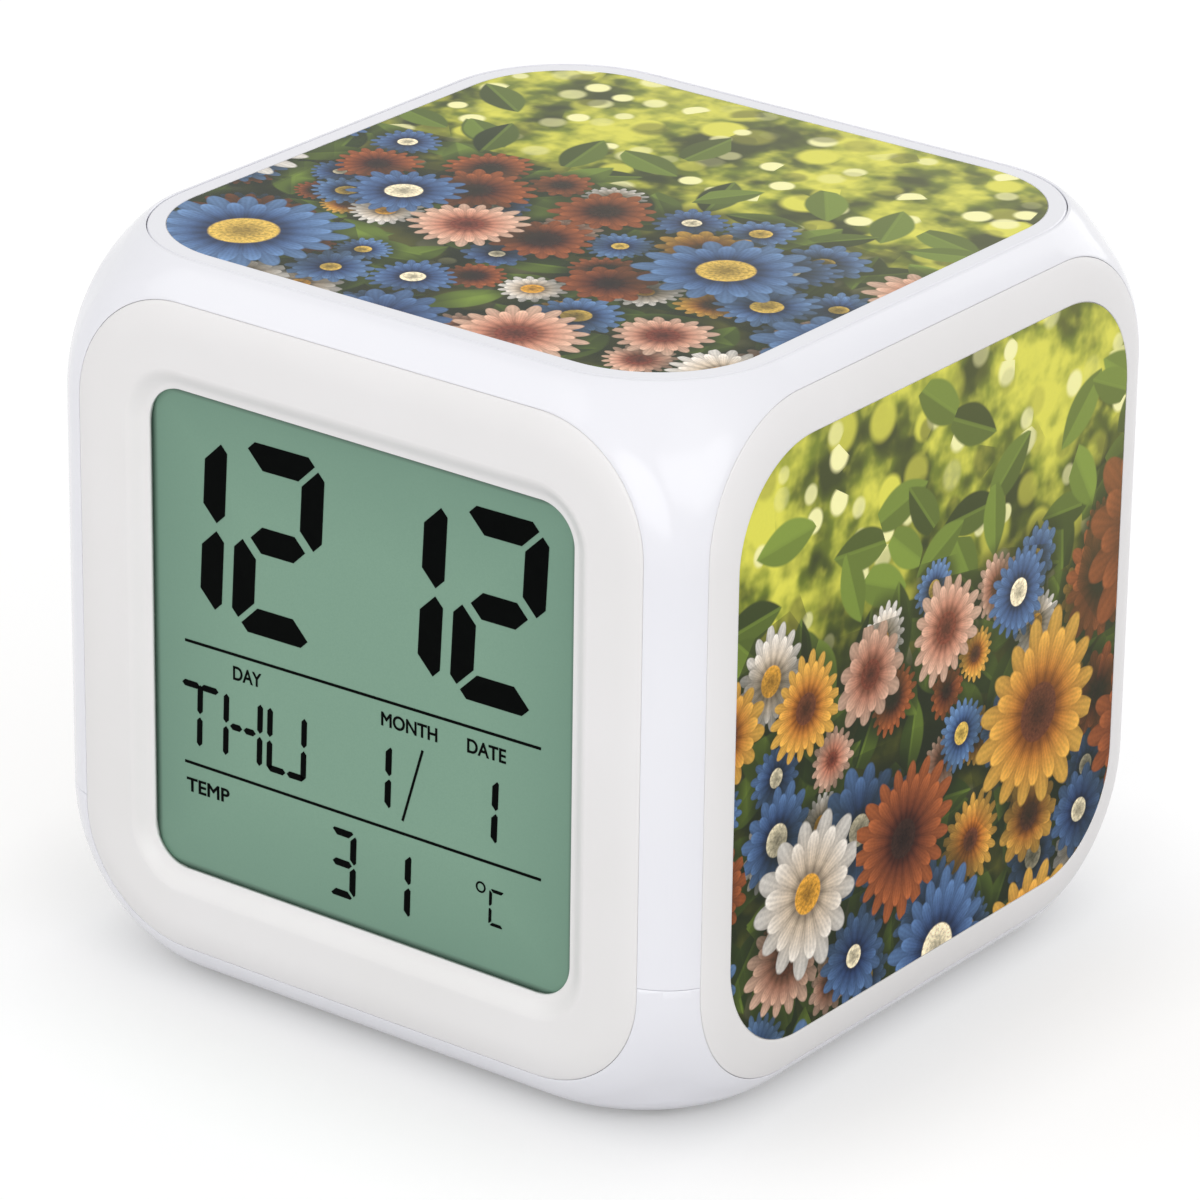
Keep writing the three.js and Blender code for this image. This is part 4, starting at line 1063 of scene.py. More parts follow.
# the door's nib and the notch above the doorway that it snaps into
catch = {"width": 8, "near": 0.7, "notch": (8.6, 1.0), "notchNear": 0.5, "top": 16.5}


def makeRearPanel():
    through = seams["walls"]["rear"] + 1
    piece = loft("rear_cover", "rear", panelShell("rear"))
    combine(piece, "UNION", innerParts("rear_panel", roomBehind("rear")))
    around = growing(doorway["half"], doorway["corner"], (0, doorway["middle"]))
    cutters = [softCutter("rear", around, doorway["edge"], through)]
    for u in buttonRow["places"]:
        cutters.append(softCutter("rear", lambda by, u=u: circle(
            u, buttonRow["height"], buttonRow["hole"] + by), buttonRow["edge"], through))
    cutters.append(faceBox("rear", (0, catch["top"]), catch["notch"], catch["notchNear"], through))
    return combine(piece, "DIFFERENCE", *cutters)


def makePanels():
    pieces = {"front_bezel": makeBezel(), "rear_panel": makeRearPanel(),
              "right_panel": makeSidePanel("right"), "left_panel": makeSidePanel("left")}
    for node, piece in pieces.items():
        shadeFaces(piece)
        dress(piece, finishes["panelSatin"], replaces=[node])
    plate = makeTopPlate()
    shadeFaces(plate)
    dress(plate, finishes["frameGloss"], "plate", ["top_plate"])


makePanels()
print("panels and press plate")


# Display: the marks lie on the glass, laid out across and up from the window's middle

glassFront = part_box("lcd_glass")[0].y / mm

marks = {
    "middle": body["middle"] - bezelWindow["drop"],
    "near": 0.035,        # in front of the glass
    "far": 0.005,
    "lineThickness": 0.3,
    "bigDigit": {"width": 10.8, "height": 20, "thick": 2.75, "corner": 0.82, "mitre": 1.25,
                 "split": 0.42, "splitMitre": 1.0, "barEnd": 2.0},
    "smallDigit": {"width": 3.4, "height": 7.3, "thick": 0.75, "corner": 0.2, "mitre": 0.42,
                   "split": 0.17, "splitMitre": 0.26, "barEnd": 0.5},
    "tinyDigit": {"width": 1.9, "height": 3.9, "thick": 0.34, "corner": 0.08, "mitre": 0.2,
                  "split": 0.1, "splitMitre": 0.12, "barEnd": 0.3},
    "letter": {"half": 2.15, "height": 6.95, "thick": 0.68, "gap": 0.17},
    "captionHeight": 1.4,
    "captionWeight": 0.04,     # added all round to the thin built-in letters
}

# each row: height at the middle, rise per millimetre across, lean of the characters
rows = {
    "time": {"height": 12.35, "rise": 0.017, "lean": 0.055,
             "digits": (("1", -22.3), ("2", -10.2), ("1", 4.75), ("2", 16.8))},
    "day": {"height": -8.37, "rise": 0.010, "lean": 0.033,
            "letters": (("T", -20.3), ("H", -14.8), ("U", -9.25)),
            "digits": (("1", 2.1), ("1", 15.1))},
    "heat": {"height": -19.15, "rise": -0.006, "lean": 0.03,
             "digits": (("3", -2.3), ("1", 4.5))},
    "unit": {"height": -18.2, "rise": -0.006, "lean": 0.03, "digits": (("C", 16.75),)},
}

lines = (
    {"height": -0.47, "rise": 0.020, "from": -22.1, "to": 21.9},
    {"height": -13.78, "rise": 0.007, "from": -22.3, "to": 22.05},
)

captions = (
    {"text": "DAY", "at": (-15.95, -3.43), "width": 3.5, "rise": 0.018},
    {"text": "MONTH", "at": (2.6, -3.04), "width": 6.8, "rise": 0.018},
    {"text": "DATE", "at": (13.1, -2.86), "width": 4.6, "rise": 0.018},
    {"text": "TEMP", "at": (-22.05, -17.04), "width": 5.4, "rise": 0.02},
)

slash = {"from": (7.65, -4.3), "to": (5.2, -12.4), "thick": 0.28}
degree = {"at": (14.8, -16.55), "radius": 0.5, "thick": 0.2, "steps": 36}

litSegments = {"1": "bc", "2": "abged", "3": "abgcd", "C": "afed"}


# the outlines of a digit's seven segments about its middle, with mitred ends
def segmentShapes(size):
    w, h, t = size["width"] / 2, size["height"] / 2, size["thick"]
    c, m = size["corner"], size["mitre"]
    s, n, end = size["split"], size["splitMitre"], w - size["barEnd"]
    top = [(-w + m, h - c), (-w + m + c, h), (w - m - c, h), (w - m, h - c), (w - m - t + c, h - t),
           (-w + m + t - c, h - t)]
    side = [(w, s + n), (w, h - m - c), (w - c, h - m), (w - t, h - m - t + c), (w - t, s + t - n),
            (w - n, s)]
    middle = [(-end, 0), (t / 2 - end, t / 2), (end - t / 2, t / 2), (end, 0),
              (end - t / 2, -t / 2), (t / 2 - end, -t / 2)]

    def flip(shape, x, y):
        return [(u * x, v * y) for u, v in shape]

    return {"a": top, "b": side, "c": flip(side, 1, -1), "d": flip(top, 1, -1),
            "e": flip(side, -1, -1), "f": flip(side, -1, 1), "g": middle}


# a bar between two points, with pointed or square ends
def bar(start, end, thick, pointed=True):
    near, far = Vector(start), Vector(end)
    along = (far - near).normalized()
    side = Vector((-along.y, along.x)) * thick / 2
    inset = along * thick / 2
    if pointed:
        corners = (near, near + inset + side, far - inset + side, far, far - inset - side,
                   near + inset - side)
    else:
        corners = near - side, far - side, far + side, near + side
    return [tuple(point) for point in corners]


# bars of a letter, each stroke in two halves, about the middle of its cell
def letterShapes(letter):
    size = marks["letter"]
    out, tall, thick, gap = size["half"], size["height"] / 2, size["thick"], size["gap"]
    upper = {x: ((x, tall - gap), (x, gap)) for x in (-out, 0, out)}
    lower = {x: ((x, -gap), (x, gap - tall)) for x in (-out, 0, out)}
    posts = [upper[-out], lower[-out], upper[out], lower[out]]
    edge = tall - thick / 2

    def level(y, end):
        return [((-end, y), (-gap / 2, y)), ((gap / 2, y), (end, y))]

    whole, inner = out + thick / 2 - gap, out - thick / 2 - gap
    strokes = {
        "T": [*level(edge, whole), upper[0], lower[0]],
        "H": [*posts, *level(0, inner)],
        "U": [*posts, *level(-edge, whole)],
    }[letter]
    return [bar(start, end, thick) for start, end in strokes]


# a shape of a row put on the glass, leaning and rising with its row
def laid(shape, middle, row):
    places = []
    for u, v in shape:
        across = middle + u + row["lean"] * v
        places.append((across, row["height"] + v + row["rise"] * across))
    return places


def markShapes():
    shapes = []
    for name, row in rows.items():
        size = {"time": "bigDigit", "unit": "tinyDigit"}.get(name, "smallDigit")
        segments = segmentShapes(marks[size])
        for digit, middle in row.get("digits", ()):
            shapes += [laid(segments[key], middle, row) for key in litSegments[digit]]
        for letter, middle in row.get("letters", ()):
            shapes += [laid(shape, middle, row) for shape in letterShapes(letter)]
    for line in lines:
        half = marks["lineThickness"] / 2
        ends = [(u, line["height"] + line["rise"] * u) for u in (line["from"], line["to"])]
        shapes.append([(ends[0][0], ends[0][1] - half), (ends[1][0], ends[1][1] - half),
                       (ends[1][0], ends[1][1] + half), (ends[0][0], ends[0][1] + half)])
    shapes.append(bar(slash["from"], slash["to"], slash["thick"], pointed=False))
    return shapes


def onGlass(u, v, rise):
    return Vector((u, glassFront - rise, marks["middle"] + v)) * mm


def markPrisms(shapes):
    points, faces = [], []
    for shape in shapes:
        start, count = len(points), len(shape)
        points += [onGlass(u, v, rise) for rise in (marks["far"], marks["near"]) for u, v in shape]
        faces += ringFaces(start, 2, count)
        faces += [tuple(range(start, start + count)), tuple(range(start + count, start + 2 * count))]
    return addPiece("display_marks", points, faces)


def degreeRing():
    turns = [math.radians(360 / degree["steps"] * step) for step in range(degree["steps"])]
    rings = []
    for radius, rise in ((0, "far"), (0, "near"), (1, "near"), (1, "far")):
        reach = degree["radius"] - degree["thick"] / 2 + radius * degree["thick"]
        rings.append([onGlass(degree["at"][0] + reach * math.cos(turn),
                              degree["at"][1] + reach * math.sin(turn), marks[rise])
                      for turn in turns])
    return addPiece("ring", [point for ring in rings for point in ring],
                    ringFaces(0, 4, len(turns), looped=True))


leastSlant = 0.6


# moves the side walls of extruded letters outwards, a sharp corner only as far as leastSlant allows
def embolden(mesh, by):
    shape = bmesh.new()
    shape.from_mesh(mesh)
    bmesh.ops.remove_doubles(shape, verts=shape.verts, dist=1e-6)
    shape.normal_update()
    moves = {}
    for vertex in shape.verts:
        walls = [face.normal for face in vertex.link_faces if abs(face.normal.z) < 0.5]
        out = sum(walls, Vector()).normalized()
        slant = min((wall.dot(out) for wall in walls), default=1)
        moves[vertex] = out * (by / max(slant, leastSlant))
    for vertex, move in moves.items():
        vertex.co += move
    shape.to_mesh(mesh)
    shape.free()


# plain letters of the built-in face as a thin solid, fitted to their width and height
def captionMesh(caption):
    curve = bpy.data.curves.new("caption", "FONT")
    curve.body = caption["text"]
    curve.extrude = (marks["near"] - marks["far"]) / 2
    text = placed("caption", curve)
    bpy.context.view_layer.update()
    mesh = bpy.data.meshes.new_from_object(text.evaluated_get(bpy.context.evaluated_depsgraph_get()))
    bpy.data.objects.remove(text)
    xs, ys = [v.co.x for v in mesh.vertices], [v.co.y for v in mesh.vertices]
    stretch = caption["width"] / (max(xs) - min(xs))
    tall = marks["captionHeight"] / (max(ys) - min(ys))
    embolden(mesh, marks["captionWeight"] / tall)
    middle = (marks["near"] + marks["far"]) / 2
    for vertex in mesh.vertices:
        u = caption["at"][0] + (vertex.co.x - min(xs)) * stretch
        v = caption["at"][1] + (vertex.co.y - min(ys)) * tall
        vertex.co = onGlass(u, v + caption["rise"] * (u - caption["at"][0]), middle + vertex.co.z)
    closeMesh(mesh, 1e-7)
    return placed("caption", mesh)


# several closed meshes as one piece
def joinPieces(name, pieces):
    work = bmesh.new()
    for piece in pieces:
        work.from_mesh(piece.data)
        bpy.data.objects.remove(piece)
    mesh = bpy.data.meshes.new(name)
    work.to_mesh(mesh)
    work.free()
    return placed(name, mesh)


glassLook = {
    "color": sRgb(124, 160, 138),
    # painted shade: the film's colour near the window's edges, where the recess shades it
    "edge": sRgb(103, 139, 120),
    "grain": sRgb(113, 150, 129),
    # painted shadow: the dark line that the window's edge casts on the glass
    "rim": sRgb(46, 66, 56),
    "grainNoise": (5200, 2, 0.7),
    "grainMost": 0.5,
    "grainBump": (0.15, 0.004),
    "cloudNoise": (45, 2),
    "edgeShadeFrom": 0.55,             # share of the way out where the deeper shade starts
    "edgeShadeMost": 0.8,
    "edgeShadeCloud": (0.7, 1),
    # painted shadow of the window's edge: where it starts and ends, and how dark it gets
    "rimShadowFrom": (0.975, 0.995),    # dark line under the window's edge
    "rimShadowMost": 0.75,
    "roughness": 0.42,
    "roughSpread": 0.04,
}


# matt reflective film: a fine metallic grain, with painted shade deepening towards the window's edges
# and a painted shadow line just under the window's edge
def displayGlass():
    look = glassLook
    material, shader, spot = newMaterial("displayFilm", look["roughness"])
    parts = apart(spot)
    halfU, halfV = bezelWindow["half"]
    up = minus(parts["Z"], marks["middle"] * mm)
    across, up = (maths("ABSOLUTE", times(way, 1 / (half * mm)))
                  for way, half in ((parts["X"], halfU), (up, halfV)))
    out = maths("MAXIMUM", across, up)
    grain = noise(spot, *look["grainNoise"])
    cloud = noise(spot, *look["cloudNoise"])
    color = mixColor(between(grain, 0, look["grainMost"]), look["color"], look["grain"])
    # painted shade, deepening from the middle out to the window's edges
    edge = ranged(out, look["edgeShadeFrom"], 1.0, 0, look["edgeShadeMost"])
    edge = times(edge, between(cloud, *look["edgeShadeCloud"]))
    color = mixColor(edge, color, look["edge"])
    # painted shadow of the window's edge along the glass's border
    rim = ranged(out, *look["rimShadowFrom"], 0, look["rimShadowMost"])
    paint(shader, mixColor(rim, color, look["rim"]),
          spreadRound(cloud, look["roughness"], look["roughSpread"]))
    bump(shader, (grain, *look["grainBump"]))
    return material


def makeDisplay():
    setFinish(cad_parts["lcd_glass"], displayGlass())
    parts = [markPrisms(markShapes()), degreeRing(), *(captionMesh(caption) for caption in captions)]
    piece = joinPieces("display_marks", parts)
    dress(piece, finishes["displayInk"])


makeDisplay()
print("display")


# Prints: a generic garden of flowers before sunlit leaves, drawn in millimetres from the middle

def groupTree(name, floats, colors, outputs):
    tree = bpy.data.node_groups.new(name, "ShaderNodeTree")
    for label in floats:
        tree.interface.new_socket(label, in_out="INPUT", socket_type="NodeSocketFloat")
    for label in colors:
        tree.interface.new_socket(label, in_out="INPUT", socket_type="NodeSocketColor")
    for label in outputs:
        kind = "NodeSocketColor" if label == "Color" else "NodeSocketFloat"
        tree.interface.new_socket(label, in_out="OUTPUT", socket_type=kind)
    return tree, tree.nodes.new("NodeGroupInput").outputs, tree.nodes.new("NodeGroupOutput")


def useGroup(group, **inputs):
    node = treeOf(*inputs.values()).nodes.new("ShaderNodeGroup")
    node.node_tree = group
    for name, value in inputs.items():
        setInput(node, name, value)
    return node.outputs


anyTurn = 6.28     # radians, for a turn by chance

# lengths in radii of the flower; a pair is a factor and what is added to it
flowerLook = {
    "waves": 3.0,                 # in which the petals' length goes up and down
    "waveSeed": 7.0,
    "length": (0.06, 0.95),
    "backSharpness": 0.55,
    "backNotch": (0.46, 0.54),
    "frontNotch": (0.4, 0.4),
    "soft": 0.02,                 # half of a petal's blurred edge
    "ribs": 10.0,
    "ribLean": 3.0,
    "ribDepth": 0.08,
    "grain": (0.5, 0.74),
    "blush": (0.2, 0.95),         # from the root's colour to the tip's
    "backLight": (0.5, 0.28),
    "frontLight": 0.44,
    "rimWidth": 0.14,
    "rimLight": (-0.2, 0.82),
    "discShade": (0.5, 0.5),
    "discShadeReach": 1.6,        # in radii of the heart
    "heartHollow": (0.8, 0.5),
    "heartGrain": (2.2, -0.1),
    "heartEdge": 0.9,
    "shade": (1.45, 0.8),
}


# one flower of two petal rings round a seeded heart; X and Y are in radii from its middle
def flowerGroup():
    look = flowerLook
    tree, given, result = groupTree(
        "flower", ("X", "Y", "Turn", "Petals", "Disc", "Tone", "Grain"), ("Tip", "Root", "Heart"),
        ("Color", "Mask", "Shade"))
    x, y, disc, grain = given["X"], given["Y"], given["Disc"], given["Grain"]
    reach = maths("SQRT", scaledPlus(x, x, times(y, y)))
    angle = plus(maths("ARCTAN2", y, x), given["Turn"])
    waves = scaledPlus(angle, look["waves"], times(given["Turn"], look["waveSeed"]))
    length = scaledPlus(maths("SINE", waves), *look["length"])
    swing = times(angle, times(given["Petals"], 0.5))
    back = maths("ABSOLUTE", maths("COSINE", swing))
    front = maths("ABSOLUTE", maths("SINE", swing))
    notch = maths("POWER", back, look["backSharpness"])
    backEdge = times(length, scaledPlus(notch, *look["backNotch"]))
    frontEdge = times(length, scaledPlus(maths("SQRT", front), *look["frontNotch"]))
    backMask, frontMask = (smooth(reach, plus(edge, look["soft"]), plus(edge, -look["soft"]))
                           for edge in (backEdge, frontEdge))
    ribs = maths("SINE", scaledPlus(swing, look["ribs"], times(reach, look["ribLean"])))
    streak = scaledPlus(ribs, look["ribDepth"], scaledPlus(grain, *look["grain"]))
    blush = mixColor(smooth(reach, *look["blush"]), given["Root"], given["Tip"])
    backLight = times(streak, scaledPlus(back, *look["backLight"]))
    rim = smooth(minus(frontEdge, reach), 0.0, look["rimWidth"])
    rimLight = scaledPlus(rim, *look["rimLight"])
    frontLight = times(streak, scaledPlus(front, look["frontLight"], rimLight))
    light = scaledPlus(frontMask, minus(frontLight, backLight), backLight)
    under = smooth(reach, disc, times(disc, look["discShadeReach"]))
    petals = brightened(blush, times(light, scaledPlus(under, *look["discShade"])))
    hollow = scaledPlus(smooth(reach, 0.0, disc), *look["heartHollow"])
    grit = times(hollow, scaledPlus(grain, *look["heartGrain"]))
    heart = brightened(given["Heart"], grit)
    heartMask = smooth(reach, disc, times(disc, look["heartEdge"]))
    color = mixColor(heartMask, petals, heart)
    setInput(result, "Color", brightened(color, given["Tone"]))
    setInput(result, "Mask", maths("MAXIMUM", backMask, frontMask))
    setInput(result, "Shade", smooth(reach, *look["shade"]))
    return tree


# cell pattern over U and V in millimetres: where a spot is in cells, the way to it from its cell's
# middle, that middle's height and the cell's random numbers
def cellParts(given, spread):
    u, v = (maths("DIVIDE", given[name], given["Cell"]) for name in ("U", "V"))
    spot = together(u, v)
    cells = voronoi(spot, spread)
    middle = apart(cells["Position"])
    chance = add(spot.id_data, "ShaderNodeSeparateColor", Color=cells["Color"]).outputs
    away = minus(u, middle["X"]), minus(v, middle["Y"])
    return spot, away, times(middle["Y"], given["Cell"]), chance


def ramp(value, colors):
    node = add(value.id_data, "ShaderNodeValToRGB", Fac=value)
    node.color_ramp.interpolation = "CONSTANT"
    elements = node.color_ramp.elements
    for index, color in enumerate(colors):
        place = index / len(colors)
        element = elements[index] if index < 2 else elements.new(place)
        element.position = place
        element.color = color
    return node.outputs["Color"]


blooms = (
    {"tip": sRgb(246, 190, 84), "root": sRgb(190, 106, 34), "heart": sRgb(96, 52, 30)},
    {"tip": sRgb(112, 148, 192), "root": sRgb(44, 72, 122), "heart": sRgb(214, 178, 84)},
    {"tip": sRgb(250, 244, 234), "root": sRgb(220, 196, 166), "heart": sRgb(222, 160, 56)},
    {"tip": sRgb(96, 130, 176), "root": sRgb(38, 60, 104), "heart": sRgb(240, 226, 190)},
    {"tip": sRgb(242, 200, 172), "root": sRgb(200, 120, 92), "heart": sRgb(120, 60, 44)},
    {"tip": sRgb(178, 98, 52), "root": sRgb(88, 40, 24), "heart": sRgb(48, 28, 20)},
)

fieldLook = {
    "spread": 0.55,
    "fill": 1.12,                 # of the room in its cell
    "petals": (9.0, 11.0),
    "disc": (0.12, 0.22),
    "tone": (0.3, 0.75),
    "stray": 8.0,                 # in height, at the field's upper edge
    "shadow": 0.7,
    "shadowColor": (0.01, 0.016, 0.005, 1),
    "layers": ((9.0, 0.0, 3), (13.0, 0.31, 0), (21.0, 0.62, -4)),    # cell, kind shift, height
}


# flowers strewn one to a cell, each as large as its cell leaves room for, only below a height
def fieldGroup(flower):
    look = fieldLook
    tree, given, result = groupTree(
        "flowerField", ("U", "V", "Cell", "Limit", "Shift", "Grain"), ("Under",), ("Color",))
    spot, away, height, chance = cellParts(given, look["spread"])
    radius = times(voronoi(spot, look["spread"], "N_SPHERE_RADIUS")["Radius"], look["fill"])
    x, y = (maths("DIVIDE", way, radius) for way in away)
    kind = maths("FRACT", plus(chance["Red"], given["Shift"]))
    tip, root, heart = (ramp(kind, [bloom[part] for bloom in blooms])
                        for part in ("tip", "root", "heart"))
    one = useGroup(flower, X=x, Y=y, Tip=tip, Root=root, Heart=heart, Grain=given["Grain"],
                   Petals=maths("FLOOR", scaledPlus(chance["Blue"], *look["petals"])),
                   Disc=scaledPlus(chance["Green"], *look["disc"]),
                   Turn=times(chance["Green"], anyTurn),
                   Tone=scaledPlus(chance["Blue"], *look["tone"]))
    stray = scaledPlus(chance["Red"], look["stray"], height)
    shown = maths("LESS_THAN", stray, given["Limit"])
    shade = times(times(one["Shade"], shown), look["shadow"])
    under = mixColor(shade, given["Under"], look["shadowColor"])
    setInput(result, "Color", mixColor(times(one["Mask"], shown), under, one["Color"]))
    return tree


# lengths in cells
leafLook = {
    "spread": 0.8,
    "slimness": 1.8,
    "halfWidth": 0.26,
    "soft": 0.04,
    "litHalf": 0.3,
    "drift": 0.7,
    "rib": (0.03, 0.012),
    "ribLight": 0.45,
    "stray": 12.0,
    "layers": ((9.0, 16, 5), (8.0, 11, 60), (9.0, 6, 33)),           # cell, height, move
}


# leaves in all directions, one to a cell, with a pale rib and a lit half
def leafGroup():
    look = leafLook
    tree, given, result = groupTree("leafField", ("U", "V", "Cell", "Limit"),
                                    ("Light", "Dark", "Under"), ("Color",))
    _, (awayU, awayV), height, chance = cellParts(given, look["spread"])
    turn = times(chance["Red"], anyTurn)
    cosine, sine = maths("COSINE", turn), maths("SINE", turn)
    along = times(scaledPlus(awayU, cosine, times(awayV, sine)), look["slimness"])
    aside = minus(times(awayV, cosine), times(awayU, sine))
    width = maths("SUBTRACT", 1.0, times(along, along), clamp=True)
    width = times(width, look["halfWidth"])
    fromRib = maths("ABSOLUTE", aside)
    mask = smooth(fromRib, width, plus(width, -look["soft"]))
    lit = smooth(aside, -look["soft"], look["soft"])
    tone = scaledPlus(lit, look["litHalf"], times(chance["Green"], look["drift"]))
    color = mixColor(tone, given["Dark"], given["Light"])
    rib = smooth(fromRib, *look["rib"])
    color = mixColor(times(rib, look["ribLight"]), color, given["Light"])
    stray = scaledPlus(chance["Blue"], look["stray"], height)
    shown = maths("LESS_THAN", stray, given["Limit"])
    setInput(result, "Color", mixColor(times(mask, shown), given["Under"], color))
    return tree


bokehLook = {
    "spread": 0.9,
    "size": (0.22, 0.26),
    "core": 0.6,                  # share of the size within which a light is even
    # cell, least brightness, strength, move
    "layers": ((6.5, 0.3, 1.9, 0), (4.0, 0.46, 2.6, 40), (5.0, 0.5, 1.2, 90)),
}


# soft round lights, each with its own brightness
def bokehGroup():
    look = bokehLook
    tree, given, result = groupTree("bokeh", ("U", "V", "Cell", "Low", "Strength"),
                                    ("Light", "Under"), ("Color",))
    _, (awayU, awayV), _, chance = cellParts(given, look["spread"])
    reach = maths("SQRT", scaledPlus(awayU, awayU, times(awayV, awayV)))
    size = scaledPlus(chance["Green"], *look["size"])
    disc = smooth(reach, size, times(size, look["core"]))
    glow = maths("SUBTRACT", chance["Red"], given["Low"], clamp=True)
    amount = times(times(disc, glow), given["Strength"])
    setInput(result, "Color", mixColor(amount, given["Under"], given["Light"]))
    return tree


# noises by scale, detail and roughness, scales per millimetre
gardenLook = {
    "dark": sRgb(36, 50, 14),
    "mid": sRgb(118, 134, 32),
    "light": sRgb(226, 222, 82),
    "glow": sRgb(255, 251, 180),
    "leafDark": sRgb(30, 46, 16),
    "leafLight": sRgb(128, 152, 56),
    "ground": sRgb(26, 34, 14),
    "edge": {"top": 8, "right": 12, "left": 12},       # height at which flowers give way to leaves
    "move": {"top": (31, 17), "right": (92, 40), "left": (151, 71)},
    "haze": (0.085, 3, 0.6),
    "fine": (0.4, 2),
    "grain": (2.6, 3, 0.6),
    "hazeStep": (0.36, 0.56),
    "fineShare": 0.35,
    "fineStep": (0.6, 0.84),
    "groundRise": 6,
    "groundFall": 14,
    "groundMost": 0.88,
    "sunLean": 0.35,
    "sunStep": (-15, 45),
    "sunMost": 0.09,
    "grainLight": (0.08, 1.06),
    "gloss": (0.12, 2),
    "roughness": 0.24,
    "roughSpread": 0.03,
    "specular": 0.07,
    "warp": (0.1, 0.3),
    "skin": (8.0, 1),
    "skinBump": (0.1, 0.004),
}

printSpots = {    # object axes across and up each print, and the middle's height
    "top": ("X", 1, "Y", 0),
    "right": ("Y", 1, "Z", body["middle"]),
    "left": ("Y", -1, "Z", body["middle"]),
}


# a glossy print of the garden, with faint grain
def gardenPrint(face, flowers, leaves, bokeh):
    look = gardenLook
    material, shader, place = newMaterial(face + "Print", look["roughness"])
    acrossAxis, sign, upAxis, middle = printSpots[face]
    parts = apart(place)
    across = times(parts[acrossAxis], sign / mm)
    up = scaledPlus(parts[upAxis], 1 / mm, -middle)
    u, v = plus(across, look["move"][face][0]), plus(up, look["move"][face][1])
    spot = together(u, v)
    haze, fine, grain = (noise(spot, *look[name]) for name in ("haze", "fine", "grain"))
    edge = look["edge"][face]
    limit = edge + look["move"][face][1]

    color = mixColor(smooth(haze, *look["hazeStep"]), look["dark"], look["mid"])
    flecks = smooth(scaledPlus(fine, look["fineShare"], haze), *look["fineStep"])
    color = mixColor(flecks, color, look["light"])
    for (cell, low, strength, move), shade in zip(bokehLook["layers"], ("light", "glow", "dark")):
        color = useGroup(bokeh, U=plus(u, move), V=v, Cell=cell, Low=low, Strength=strength,
                         Light=look[shade], Under=color)["Color"]
    ground = smooth(up, edge + look["groundRise"], edge - look["groundFall"])
    color = mixColor(times(ground, look["groundMost"]), color, look["ground"])
    for cell, height, move in leafLook["layers"]:
        color = useGroup(leaves, U=plus(u, move), V=v, Cell=cell, Limit=limit + height,
                         Light=look["leafLight"], Dark=look["leafDark"], Under=color)["Color"]
    for cell, shift, height in fieldLook["layers"]:
        color = useGroup(flowers, U=plus(u, cell), V=v, Cell=cell, Shift=shift, Grain=grain,
                         Limit=limit + height, Under=color)["Color"]
    sun = smooth(scaledPlus(across, look["sunLean"], up), *look["sunStep"])
    color = mixColor(times(sun, look["sunMost"]), color, look["glow"], "SCREEN")
    color = brightened(color, scaledPlus(grain, *look["grainLight"]))
    gloss = noise(spot, *look["gloss"])
    paint(shader, color, spreadRound(gloss, look["roughness"], look["roughSpread"]))
    setInput(shader, "Specular IOR Level", look["specular"])
    bump(shader, (gloss, *look["warp"]), (noise(spot, *look["skin"]), *look["skinBump"]))
    return material


# each print shows the garden on its face and plain card at its edges
def makePrints():
    groups = (fieldGroup(flowerGroup()), leafGroup(), bokehGroup())
    for face, settings, ridesOn, depth in (
        ("top", topPrint, "plate", flatDrop("top")), ("right", sidePrint, "case", 0),
        ("left", sidePrint, "case", 0),
    ):
        piece = makePrint(face + "_print", face, settings, depth)
        shadeFaces(piece)
        dress(piece, gardenPrint(face, *groups), ridesOn, [face + "_picture"])
        piece.data.materials.append(finishes["cardEdge"])
        out = Vector(faceAxes[face][2])
        for polygon in piece.data.polygons:
            if polygon.normal.dot(out) < 0.5:
                polygon.material_index = 1


makePrints()
print("prints")


# Repeats: one tree sets a form on points, each turned to its own facing; one winds springs there

def geometryTree(name, sockets):
    tree = bpy.data.node_groups.new(name, "GeometryNodeTree")
    for label, kind, value in sockets:
        socket = tree.interface.new_socket(label, in_out="INPUT", socket_type="NodeSocket" + kind)
        if value is not None:
            socket.default_value = value
    tree.interface.new_socket("Geometry", in_out="OUTPUT", socket_type="NodeSocketGeometry")
    return tree, tree.nodes.new("NodeGroupInput").outputs, tree.nodes.new("NodeGroupOutput")


# instances of a form on the points, realized, with their finish
def setOnPoints(tree, given, form, end):
    facing = add(tree, "GeometryNodeInputNamedAttribute", Name="facing")
    facing.data_type = "FLOAT_VECTOR"
    way = next(socket for socket in facing.outputs if socket.type == "VECTOR")
    align = add(tree, "FunctionNodeAlignRotationToVector", Vector=way)
    align.axis = "Z"
    chance = add(tree, "FunctionNodeRandomValue", Seed=given["Seed"])
    chance.data_type = "FLOAT"
    most = next(socket for socket in chance.inputs if socket.name == "Max" and socket.type == "VALUE")
    tree.links.new(given["Loose Turn"], most)
    amount = next(socket for socket in chance.outputs if socket.type == "VALUE")
    spots = add(tree, "GeometryNodeInstanceOnPoints", Points=given["Places"], Instance=form,
                Rotation=align.outputs[0])
    turned = add(tree, "GeometryNodeRotateInstances", Instances=spots.outputs["Instances"],
                 Rotation=add(tree, "ShaderNodeCombineXYZ", Z=amount).outputs[0])
    solid = add(tree, "GeometryNodeRealizeInstances", Geometry=turned.outputs["Instances"])
    finish = add(tree, "GeometryNodeSetMaterial", Geometry=solid.outputs["Geometry"],
                 Material=given["Finish"])
    setInput(end, "Geometry", finish.outputs["Geometry"])


def repeatTree():
    tree, given, end = geometryTree("repeatForm", (
        ("Places", "Geometry", None), ("Form", "Object", None), ("Finish", "Material", None),
        ("Loose Turn", "Float", 0.0), ("Seed", "Int", 7)))
    form = add(tree, "GeometryNodeObjectInfo", Object=given["Form"])
    setOnPoints(tree, given, form.outputs["Geometry"], end)
    return tree


springSteps = (32, 10)     # along a turn and round the wire


